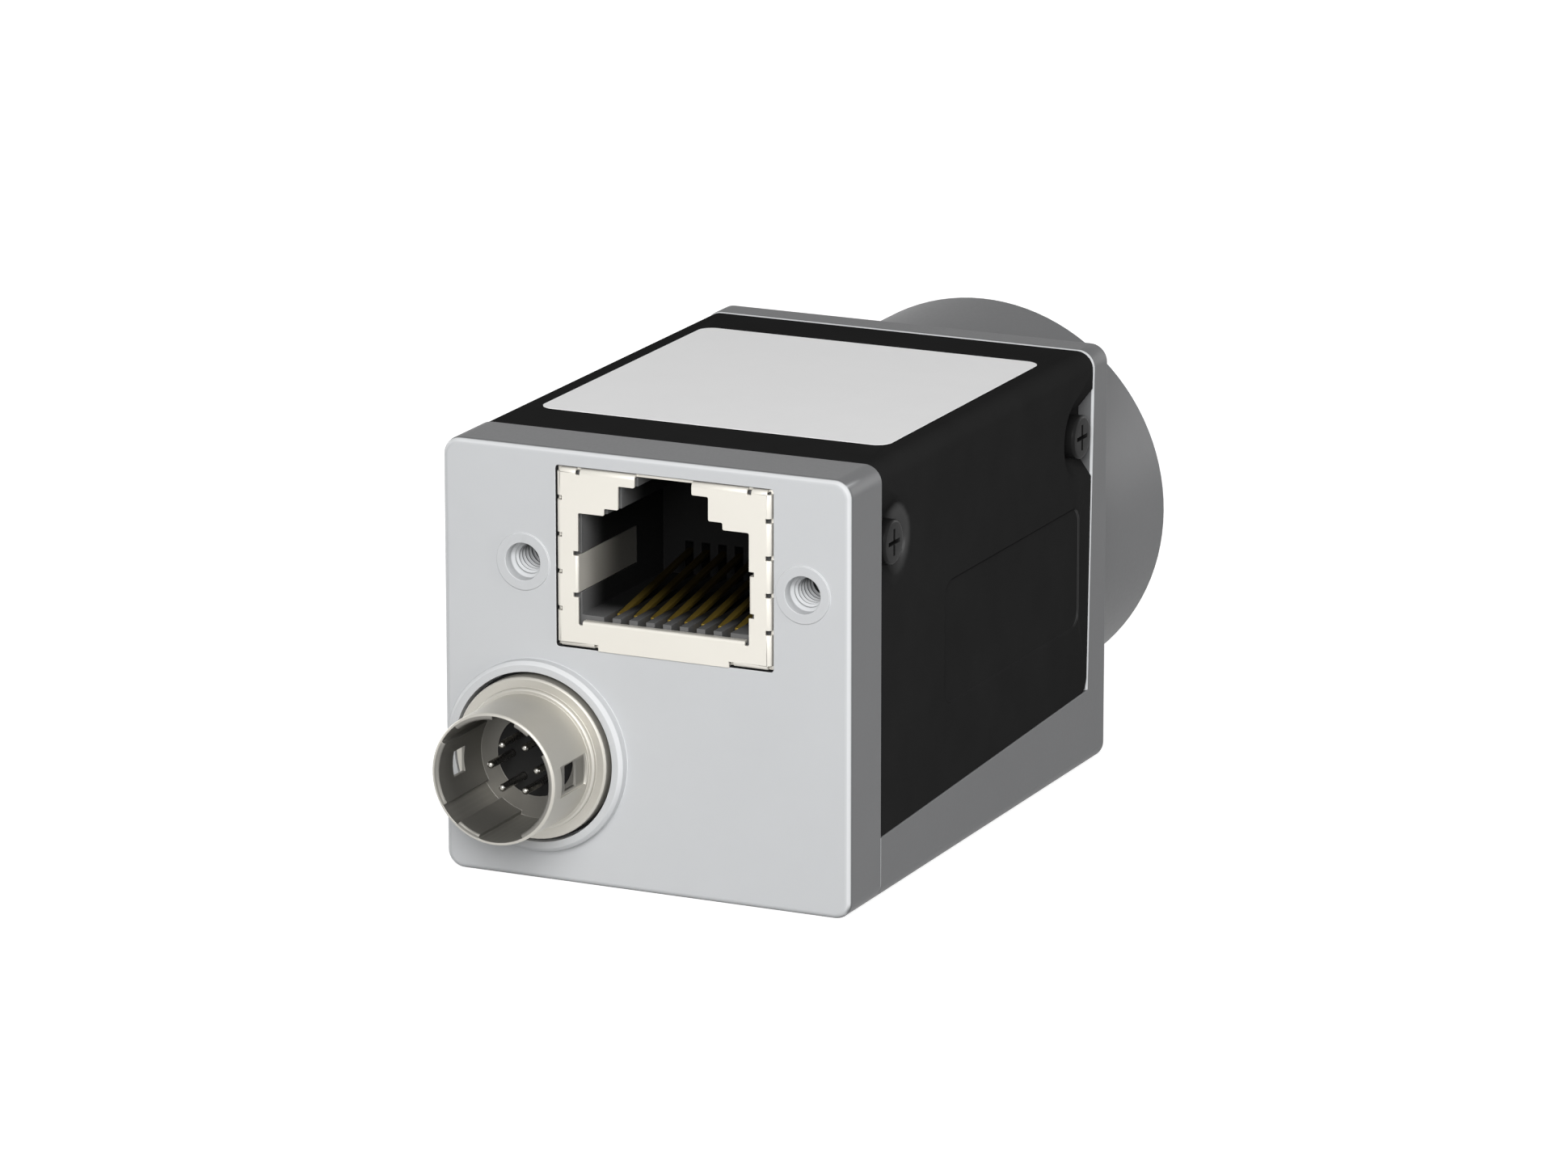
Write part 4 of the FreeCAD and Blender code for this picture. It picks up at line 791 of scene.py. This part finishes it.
FINISHES: dict[Slot, Finish] = {
    Slot.HOUSING: CoatedCasting(CASTING_GREY, 0.42, specular=0.07, relief=0.003, cloud=0.03,
                                painted_highlight_colour=(0.60, 0.61, 0.62)),
    Slot.REAR: FacedCasting(CASTING_GREY, 0.38, specular=0.08, relief=0.003, cloud=0.03,
                            painted_highlight_colour=(0.63, 0.64, 0.65), lit_face_colour=(0.52, 0.53, 0.54)),
    Slot.COVER: CoatedSheet(grey(0.020), 0.5, specular=0.0, relief=0.003, cloud=0.12),
    Slot.SCREW: TurnedMetal(grey(0.014), 0.3, specular=0.03, relief=0.002, grain_cells=6.0),
    Slot.LABEL: PrintedFilm(grey(0.89), 0.62, specular=0.08, relief=0.0015, cloud=0.015,
                            grain_cells=6.0),
    Slot.HOLDER: Moulding(grey(0.02), 0.5, specular=0.2, grain_cells=8.0),
    Slot.FILTER: ClearGlass((0.86, 0.95, 0.93), 0.0, relief=0.0002, roughness_swing=0.02,
                            cloud=0.01),
    Slot.FOAM: SoftSheet(grey(0.02), 0.9, specular=0.1, relief=0.03),
    Slot.CERAMIC: Moulding((0.17, 0.15, 0.13), 0.6, specular=0.3, grain_cells=9.0),
    Slot.SILICON: SensorSilicon(grey(0.08), 0.12, specular=0.6, relief=0.0006),
    Slot.WINDOW: ClearGlass(grey(0.97), 0.0, relief=0.0002, roughness_swing=0.02, cloud=0.01),
    Slot.BOARD: BoardMask((0.015, 0.10, 0.035), 0.35, specular=0.4, relief=0.02),
    Slot.CHIP: Moulding(grey(0.02), 0.55, specular=0.3, grain_cells=10.0),
    Slot.LINK: Moulding(grey(0.022), 0.45, specular=0.3, grain_cells=8.0),
    Slot.SPACER: TurnedMetal((0.66, 0.46, 0.18), 0.3, metallic=1.0, grain_cells=8.0, relief=0.002),
    Slot.INNER_SCREW: TurnedMetal(grey(0.5), 0.3, metallic=1.0, grain_cells=8.0, relief=0.002),
    Slot.PAD: SoftSheet((0.22, 0.28, 0.34), 0.8, specular=0.2, relief=0.02),
    Slot.SHIELD: RolledSheet((0.70, 0.675, 0.615), 0.46, metallic=0.4, relief=0.0008, cloud=0.02,
                             roughness_swing=0.05, deep_level=47.5, mouth_level=54.3,
                             depth_shade_level=0.12),
    Slot.INSERT: Moulding(grey(0.125), 0.5, specular=0.08, grain_cells=8.0, cloud=0.08,
                          deep_level=50.0, mouth_level=53.4, depth_shade_level=0.05),
    Slot.CONTACT: RolledSheet((0.48, 0.33, 0.06), 0.4, metallic=0.8, relief=0.0008,
                              stretch=(1.0, 0.12, 1.0), deep_level=46.5, mouth_level=52.6,
                              depth_shade_level=0.05),
    Slot.SHELL: TurnedMetal((0.47, 0.455, 0.415), 0.5, metallic=0.75, relief=0.0012, cloud=0.03,
                            grain_cells=7.0, axis_x=CONNECTOR_AXIS.x / MM,
                            axis_z=CONNECTOR_AXIS.z / MM, bore_radius=4.17),
    Slot.CORE: Moulding(grey(0.012), 0.45, specular=0.15, grain_cells=8.0),
    Slot.PIN: TurnedMetal((0.40, 0.39, 0.36), 0.26, metallic=1.0, relief=0.0008, grain_cells=9.0),
    Slot.SEAL: SoftSheet(grey(0.02), 0.7, specular=0.1, relief=0.01),
}


class Shaper:
    """Grows one mesh from rings of points."""

    def __init__(self) -> None:
        """Start with no points."""
        self.mesh = bmesh.new()

    def ring(self, points: Sequence[Vector]) -> list[bmesh.types.BMVert]:
        """Points of one closed ring."""
        return [self.mesh.verts.new(point) for point in points]

    def skin(self, first: Sequence[bmesh.types.BMVert],
             second: Sequence[bmesh.types.BMVert]) -> None:
        """Band of quads between two rings of as many points.

        Args:
            first: First ring.
            second: Second ring.
        """
        count = len(first)
        for index in range(count):
            following = (index + 1) % count
            self.mesh.faces.new((first[index], first[following], second[following], second[index]))

    def cap(self, ring: Sequence[bmesh.types.BMVert]) -> None:
        """One flat face over a ring."""
        self.mesh.faces.new(ring)

    def lathe(self, place: Matrix, profile: Sequence[tuple[float, float]],
              count: int) -> list[list[bmesh.types.BMVert]]:
        """Skin turned about the Z axis of a place.

        Args:
            place: Where the axis lies.
            profile: Height along the axis and radius of each ring.
            count: Points in a ring.

        Returns:
            The rings.
        """
        rings = []
        angles = [FULL_TURN * index / count for index in range(count)]
        for height, radius in profile:
            rings.append(self.ring([place @ Vector((radius * math.cos(angle),
                                                    radius * math.sin(angle), height))
                                    for angle in angles]))
        for first, second in zip(rings, rings[1:]):
            self.skin(first, second)
        return rings

    def face_with_hole(self, outer: Sequence[bmesh.types.BMVert],
                       inner: Sequence[bmesh.types.BMVert]) -> None:
        """Flat face between an outline and a hole.

        Args:
            outer: Ring of the outline, which already carries faces.
            inner: Ring of the hole.
        """
        edges = []
        for ring in (outer, inner):
            for first, second in zip(ring, [*ring[1:], ring[0]]):
                edge = self.mesh.edges.get((first, second))
                edges.append(edge or self.mesh.edges.new((first, second)))
        bmesh.ops.triangle_fill(self.mesh, use_beauty=True, use_dissolve=False, edges=edges)

    def finished(self, name: str, crease: float) -> bpy.types.Mesh:
        """Close the work into a mesh.

        Args:
            name: Name of the mesh.
            crease: Edges that turn by more than this angle stay sharp, in degrees.

        Returns:
            The mesh.
        """
        bmesh.ops.recalc_face_normals(self.mesh, faces=self.mesh.faces)
        mesh = bpy.data.meshes.new(name)
        self.mesh.to_mesh(mesh)
        self.mesh.free()
        mesh.shade_smooth()
        mesh.set_sharp_from_angle(angle=math.radians(crease))
        return mesh


@dataclass
class Workshop:
    """Makes each finish once, and puts made pieces on the camera."""

    made: dict[Slot, bpy.types.Material] = field(default_factory=dict)

    def finish(self, slot: Slot) -> bpy.types.Material:
        """Material of a slot, built on first use.

        Args:
            slot: The slot.

        Returns:
            The material.
        """
        if slot not in self.made:
            self.made[slot] = FINISHES[slot].material("finish_" + slot.value)
        return self.made[slot]

    def put(self, mesh: bpy.types.Mesh, slot: Slot, *stands_for: str) -> bpy.types.Object:
        """Put a made mesh on the camera.

        Args:
            mesh: The mesh, in the frame's coordinates. Its name becomes the piece's.
            slot: Slot of its finish.
            stands_for: Construction nodes that it replaces.

        Returns:
            The piece.
        """
        piece = bpy.data.objects.new(mesh.name, mesh)
        bpy.context.scene.collection.objects.link(piece)
        mesh.materials.append(self.finish(slot))
        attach(piece, BODY)
        if stands_for:
            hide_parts(*stands_for)
        log.info("made %s with %d faces", piece.name, len(mesh.polygons))
        return piece

    def dress(self, node: str) -> bpy.types.Object:
        """Give a construction node the finish of its slot.

        Args:
            node: Name of the node.

        Returns:
            The node's object.
        """
        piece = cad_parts[node]
        slot = Slot(piece.data.materials[0].name)
        piece.data.materials[0] = self.finish(slot)
        return piece


@dataclass(frozen=True)
class EdgeWork:
    """How the hard edges of a construction node are eased, in millimetres and degrees."""

    width: float = 0.05
    angle: float = 40.0
    segments: int = 2
    dissolve: bool = True
    flat_angle: float = 0.5
    weld_gap: float = 0.0005
    face_weight: int = 80

    def ease(self, piece: bpy.types.Object) -> None:
        """Weld, flatten and bevel a node by modifiers, with its own points untouched.

        Args:
            piece: The node's object.
        """
        mesh = piece.data
        for name in ("custom_normal", "sharp_edge", "sharp_face"):
            if name in mesh.attributes:
                mesh.attributes.remove(mesh.attributes[name])
        mesh.shade_smooth()
        weld = piece.modifiers.new("weld", "WELD")
        weld.merge_threshold = self.weld_gap * MM
        if self.dissolve:
            flatten = piece.modifiers.new("flatten", "DECIMATE")
            flatten.decimate_type = "DISSOLVE"
            flatten.angle_limit = math.radians(self.flat_angle)
        bevel = piece.modifiers.new("bevel", "BEVEL")
        bevel.width = self.width * MM
        bevel.segments = self.segments
        bevel.limit_method = "ANGLE"
        bevel.angle_limit = math.radians(self.angle)
        bevel.use_clamp_overlap = False
        weigh = piece.modifiers.new("weigh", "WEIGHTED_NORMAL")
        weigh.mode = "FACE_AREA_WITH_ANGLE"
        weigh.weight = self.face_weight


@dataclass
class SubAssembly(ABC):
    """A group of pieces that is built and dressed together."""

    workshop: Workshop

    @abstractmethod
    def build(self) -> None:
        """Build the pieces of the group and dress its nodes."""

    def dress_all(self, nodes: Mapping[str, float], work: EdgeWork = EdgeWork()) -> None:
        """Dress construction nodes and ease their edges.

        Args:
            nodes: Bevel in millimetres by name of the node.
            work: How the edges are eased, apart from the bevel's width.
        """
        for node, width in nodes.items():
            replace(work, width=width).ease(self.workshop.dress(node))
            log.info("dressed %s", node)


@dataclass(frozen=True)
class Thread:
    """An inner screw thread, drawn as a ridge on the wall of its bore.

    Lengths are in millimetres. The run-out is in turns, and the root and the crest are half widths
    as shares of the pitch.
    """

    bore: float
    pitch: float
    height: float
    start: float
    depth: float
    count: int = 32
    sink: float = 0.02
    run_out: float = 0.4
    root: float = 0.42
    crest: float = 0.08

    def sections(self) -> Iterator[tuple[float, float, float]]:
        """Turn, depth and ridge height of each section, with the ridge run out at both ends.

        Returns:
            The sections, one after another.
        """
        turns = (self.depth - self.start) / self.pitch
        for step in range(int(turns * self.count) + 1):
            turned = step / self.count
            share = min(1.0, turned / self.run_out, (turns - turned) / self.run_out)
            yield turned, self.start + turned * self.pitch, self.height * max(0.0, share)

    def cut_into(self, shaper: Shaper, place: Matrix) -> None:
        """Add the ridge to a mesh.

        Args:
            shaper: Mesh that grows.
            place: Mouth of the bore, with Z pointing out of it.
        """
        root, crest = self.root * self.pitch, self.crest * self.pitch
        last = None
        for turned, depth, height in self.sections():
            angle = FULL_TURN * turned
            wall, tip = self.bore / 2 + self.sink, self.bore / 2 - height
            corners = ((wall, -root), (tip, -crest), (tip, crest), (wall, root))
            section = shaper.ring([place @ Vector((reach * math.cos(angle), reach * math.sin(angle),
                                                   shift - depth))
                                   for reach, shift in corners])
            if last is None:
                shaper.cap(section)
            else:
                shaper.skin(last, section)
            last = section
        shaper.cap(last)


def outward(point: Vector, direction: Vector) -> Matrix:
    """Place in millimetres whose Z axis points along a direction, scaled to metres.

    Args:
        point: Where it lies, in metres.
        direction: Where its Z axis points.

    Returns:
        The place.
    """
    turn = direction.to_track_quat("Z", "Y").to_matrix().to_4x4()
    return Matrix.Translation(point) @ turn @ Matrix.Scale(MM, 4)


@dataclass
class Housing(SubAssembly):
    """Casting with the lens mount, and its threads."""

    lens_thread: Thread = Thread(bore=24.6, pitch=0.794, height=0.16, start=0.7, depth=4.9,
                                 count=96)
    base_thread: Thread = Thread(bore=2.5, pitch=0.5, height=0.16, start=0.25, depth=2.8)
    foot_thread: Thread = Thread(bore=1.6, pitch=0.4, height=0.12, start=0.2, depth=2.8)
    thread_spacing: float = 20.0
    base_thread_along: float = 27.8
    foot_threads_along: tuple[float, float] = (18.8, 40.8)

    def build(self) -> None:
        """Dress the casting and thread its holes."""
        self.dress_all({"front_housing": 0.06})
        lens = Shaper()
        self.lens_thread.cut_into(lens, outward(Vector((0, 0, 0)), Vector((0, -1, 0))))
        self.workshop.put(lens.finished("lens_thread", crease=30), Slot.HOUSING)
        base = Shaper()
        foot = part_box("front_housing")[0].z
        for across in (-self.thread_spacing / 2, self.thread_spacing / 2):
            for along, thread in self.hole_row():
                mouth = Vector((across * MM, along * MM, foot))
                thread.cut_into(base, outward(mouth, Vector((0, 0, -1))))
        self.workshop.put(base.finished("base_thread_turns", crease=30), Slot.HOUSING)

    def hole_row(self) -> list[tuple[float, Thread]]:
        """Threads of one side of the base, with their place along the camera."""
        return [(self.base_thread_along, self.base_thread),
                *[(along, self.foot_thread) for along in self.foot_threads_along]]


@dataclass
class CoverScrews(SubAssembly):
    """Four equal cross-recessed screws in the sides of the cover."""

    head: float = 3.0
    head_height: float = 1.07
    edge: float = 0.22
    shank: float = 2.0
    lead: float = 0.2
    length: float = 4.3
    cross: float = 1.76
    arm: float = 0.28
    cross_depth: float = 0.6
    cross_taper: float = 0.72
    count: int = 48
    edge_steps: int = 6

    def build(self) -> None:
        """Build the screws in place of their plain node."""
        shaper = Shaper()
        for place in self.places():
            self.screw(shaper, place)
        self.workshop.put(shaper.finished("side_screws", crease=35), Slot.SCREW, "cover_screws")

    def places(self) -> list[Matrix]:
        """Centre of each head, with Z pointing out of it.

        Returns:
            The four places.
        """
        low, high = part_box("cover_screws")
        inset = self.head * MM / 2
        up = (low.z + high.z) / 2
        return [outward(Vector((side.x, along, up)), Vector((math.copysign(1, side.x), 0, 0)))
                for side in (low, high) for along in (low.y + inset, high.y - inset)]

    def profile(self) -> list[tuple[float, float]]:
        """Height and radius from the tip of the shank to the face of the head.

        Returns:
            The pairs of height and radius.
        """
        reach, core = self.head / 2, self.shank / 2
        points = [(-self.length, core - self.lead), (self.lead - self.length, core),
                  (-self.head_height, core), (-self.head_height, reach)]
        for step in range(self.edge_steps + 1):
            angle = math.pi / 2 * step / self.edge_steps
            points.append((self.edge * (math.sin(angle) - 1),
                           reach + self.edge * (math.cos(angle) - 1)))
        return points

    def screw(self, shaper: Shaper, place: Matrix) -> None:
        """One screw.

        Args:
            shaper: Mesh that grows.
            place: Centre of the head's face.
        """
        rings = shaper.lathe(place, self.profile(), self.count)
        shaper.cap(list(reversed(rings[0])))
        mouth = shaper.ring([place @ Vector((across, up, 0))
                             for across, up in self.cross_outline(1.0)])
        floor = shaper.ring([place @ Vector((across, up, -self.cross_depth))
                             for across, up in self.cross_outline(self.cross_taper)])
        shaper.face_with_hole(rings[-1], mouth)
        shaper.skin(mouth, floor)
        shaper.cap(floor)

    def cross_outline(self, taper: float) -> list[tuple[float, float]]:
        """Outline of the cross.

        Args:
            taper: Share of the full length of its arms.

        Returns:
            Its twelve corners.
        """
        reach, half = self.cross / 2 * taper, self.arm / 2 * taper
        corner = [(reach, -half), (reach, half), (half, half)]
        turned = []
        for _ in range(4):
            turned += corner
            corner = [(-up, across) for across, up in corner]
        return turned


@dataclass
class Cover(SubAssembly):
    """Black cover and its bare label."""

    def build(self) -> None:
        """Dress the cover and the label."""
        self.dress_all({"top_cover": 0.08}, EdgeWork(angle=62.0, dissolve=False))
        self.dress_all({"top_label": 0.03})


@dataclass
class RearPlate(SubAssembly):
    """Rear casting with the locking threads beside the socket."""

    lock_places: tuple[float, float] = (8.68, -11.2)
    lock_height: float = 6.77
    boss_face: float = 53.92
    lock_thread: Thread = Thread(bore=2.05, pitch=0.45, height=0.14, start=1.05, depth=3.9)

    def build(self) -> None:
        """Dress the casting and thread its locking holes."""
        self.dress_all({"rear_plate": 0.05})
        shaper = Shaper()
        for across in self.lock_places:
            mouth = Vector((across, self.boss_face, self.lock_height)) * MM
            self.lock_thread.cut_into(shaper, outward(mouth, Vector((0, 1, 0))))
        self.workshop.put(shaper.finished("lock_thread_turns", crease=30), Slot.REAR)


@dataclass
class NetworkSocket(SubAssembly):
    """Shielded network socket with its insert and eight springs."""

    def build(self) -> None:
        """Dress the socket."""
        self.dress_all({"network_shield": 0.03, "network_insulator": 0.04,
                        "network_contacts": 0.05})


@dataclass
class RoundConnector(SubAssembly):
    """Keyed round connector with six round-tipped pins."""

    pin_radius: float = 0.25
    tip_steps: int = 6
    count: int = 24
    pin_count: int = 6

    def build(self) -> None:
        """Dress the connector and build its pins."""
        self.dress_all({"power_shell": 0.04, "power_insulator": 0.04, "power_gasket": 0.05,
                        "power_nut": 0.05})
        shaper = Shaper()
        for place, length in self.pin_places():
            self.pin(shaper, place, length)
        self.workshop.put(shaper.finished("round_tipped_pins", crease=50), Slot.PIN, "power_pins")

    def pin_places(self) -> Iterator[tuple[Matrix, float]]:
        """Foot of each pin with its length in millimetres.

        Returns:
            The places and lengths, pin by pin.
        """
        low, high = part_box("power_pins")
        centre = (low + high) / 2
        reach = (high.x - low.x) / 2 - self.pin_radius * MM
        for index in range(self.pin_count):
            angle = math.pi + FULL_TURN * index / self.pin_count
            foot = Vector((centre.x + reach * math.cos(angle), low.y,
                           centre.z + reach * math.sin(angle)))
            yield outward(foot, Vector((0, 1, 0))), (high.y - low.y) / MM

    def pin(self, shaper: Shaper, place: Matrix, length: float) -> None:
        """One pin with a round tip.

        Args:
            shaper: Mesh that grows.
            place: Foot of the pin.
            length: Its length.
        """
        radius = self.pin_radius
        profile = [(0.0, radius)]
        for step in range(self.tip_steps):
            angle = math.pi / 2 * step / self.tip_steps
            profile.append((length - radius * (1 - math.sin(angle)), radius * math.cos(angle)))
        rings = shaper.lathe(place, profile, self.count)
        shaper.cap(list(reversed(rings[0])))
        shaper.cap(rings[-1])


@dataclass
class Inside(SubAssembly):
    """Everything inside the camera, from the filter to the lying board."""

    def build(self) -> None:
        """Dress the inner pieces."""
        self.dress_all({
            "filter_holder": 0.08, "filter_glass": 0.04, "sensor_gasket": 0.05,
            "image_sensor": 0.04, "sensor_die": 0.01, "sensor_window": 0.02,
            "sensor_board": 0.03, "board_spacers": 0.05, "processor_board": 0.03,
            "board_screws": 0.08, "board_plug": 0.05, "board_socket": 0.05,
            "processor_chip": 0.05, "memory_chip": 0.05, "thermal_pad": 0.08,
            "interface_board": 0.03, "interface_connector": 0.05, "network_transformer": 0.08,
            "power_board": 0.03, "power_header": 0.05,
        })


@dataclass(frozen=True)
class Softbox:
    """A flat lamp that faces the camera body, with its share of the light on a facing surface."""

    name: str
    direction: tuple[float, float, float]
    distance: float
    width: float
    height: float
    share: float

    def hang(self, target: Vector) -> bpy.types.Object:
        """Hang the lamp.

        Args:
            target: Point that it faces.

        Returns:
            The lamp.
        """
        lamp = bpy.data.lights.new(self.name, "AREA")
        lamp.shape = "RECTANGLE"
        lamp.size = self.width
        lamp.size_y = self.height
        lamp.energy = 4 * math.pi * self.distance ** 2 * self.share
        made = bpy.data.objects.new(self.name, lamp)
        bpy.context.scene.collection.objects.link(made)
        back = Vector(self.direction).normalized()
        made.location = target + back * self.distance
        made.rotation_mode = "QUATERNION"
        made.rotation_quaternion = back.to_track_quat("Z", "Y")
        made.visible_camera = False
        return made


@dataclass
class Studio:
    """Pale floor, soft lamps, a white ground behind and the camera of the picture."""

    fill: float = 0.21
    floor_size: float = 6.0
    floor_glow: float = 0.85
    floor_colour: Colour = grey(0.5)
    floor_cells: float = 0.02
    floor_dullest: float = 0.985
    sensor_width: float = 36.0
    clip: tuple[float, float] = (0.01, 20.0)
    lens: float = 192.34
    azimuth: float = 205.03
    elevation: float = 14.985
    eye: tuple[float, float, float] = (-0.22737, 0.51963, 0.14470)
    lamps: tuple[Softbox, ...] = (
        Softbox("key", (-0.29, 0.84, 0.43), 0.45, 0.22, 0.22, 0.74),
        Softbox("side_strip", (-0.97, 0.20, 0.06), 0.45, 0.05, 0.30, 0.22),
        Softbox("front_fill", (-0.50, -0.80, 0.08), 0.60, 0.40, 0.40, 0.36),
        Softbox("far_side_fill", (0.87, -0.42, 0.02), 0.60, 0.40, 0.40, 0.55),
    )

    def build(self) -> None:
        """Set the stage, the lamps and the camera."""
        self.lay_floor()
        self.light_world()
        low, high = CAD_BOX
        for lamp in self.lamps:
            lamp.hang((low + high) / 2)
        self.place_camera()
        bpy.context.scene.view_settings.view_transform = "Standard"

    def lay_floor(self) -> None:
        """Wide floor under the camera, which shows white and keeps its shadow."""
        level = CAD_BOX[0].z
        half = self.floor_size / 2
        mesh = bpy.data.meshes.new("floor")
        mesh.from_pydata([(-half, -half, level), (half, -half, level), (half, half, level),
                          (-half, half, level)], [], [(0, 1, 2, 3)])
        floor = bpy.data.objects.new("floor", mesh)
        bpy.context.scene.collection.objects.link(floor)
        material = bpy.data.materials.new("studio_floor")
        graph = Graph(material)
        mottle = graph.noise(graph.place(), self.floor_cells).spread(self.floor_dullest, 1.0)
        colour = graph.vector(mottle, mottle, mottle) * self.floor_colour
        diffuse = graph.node("ShaderNodeBsdfDiffuse", {}, {"Color": colour})
        glow = graph.node("ShaderNodeEmission", {},
                          {"Color": grey(1.0), "Strength": self.floor_glow})
        both = graph.node("ShaderNodeAddShader", {}, {0: diffuse, 1: glow})
        graph.end(graph.node("ShaderNodeMixShader", {},
                             {0: seen_directly(graph), 1: diffuse, 2: both}))
        mesh.materials.append(material)

    def light_world(self) -> None:
        """Plain fill light, with white behind everything that is seen or mirrored."""
        world = bpy.data.worlds.new("studio")
        bpy.context.scene.world = world
        graph = Graph(world)
        strength = seen_directly(graph) * (1 - self.fill) + self.fill
        background = graph.node("ShaderNodeBackground", {},
                                {"Color": grey(1.0), "Strength": strength})
        graph.end(background, "ShaderNodeOutputWorld")

    def place_camera(self) -> None:
        """Camera at the viewing angle of the picture."""
        data = bpy.data.cameras.new("view")
        data.sensor_width = self.sensor_width
        data.lens = self.lens
        data.clip_start, data.clip_end = self.clip
        camera = bpy.data.objects.new("view", data)
        bpy.context.scene.collection.objects.link(camera)
        turn, rise = math.radians(self.azimuth), math.radians(self.elevation)
        back = Vector((math.sin(turn) * math.cos(rise), -math.cos(turn) * math.cos(rise),
                       math.sin(rise)))
        camera.location = self.eye
        camera.rotation_mode = "QUATERNION"
        camera.rotation_quaternion = (-back).to_track_quat("-Z", "Y")
        bpy.context.scene.camera = camera


def seen_directly(graph: Graph) -> Wire:
    """1 for rays of the camera, of reflections and through glass, and 0 for all others.

    Args:
        graph: Graph in which it is used.

    Returns:
        The value.
    """
    rays = graph.node("ShaderNodeLightPath", {}, {}, "Is Camera Ray")
    outputs = rays.socket.node.outputs
    for name in ("Is Glossy Ray", "Is Transmission Ray"):
        rays = rays + Wire(graph, outputs[name])
    return graph.node("ShaderNodeMath", {"operation": "MINIMUM"}, {0: rays, 1: 1.0})


def main() -> None:
    """Build the camera from the outside in, then the studio round it."""
    logging.basicConfig(level=logging.INFO, format="%(name)s %(message)s")
    workshop = Workshop()
    for kind in (Housing, Cover, CoverScrews, RearPlate, NetworkSocket, RoundConnector, Inside):
        assembly = kind(workshop)
        assembly.build()
        log.info("%s is ready", kind.__name__)
    Studio().build()


if __name__ == "__main__":
    main()
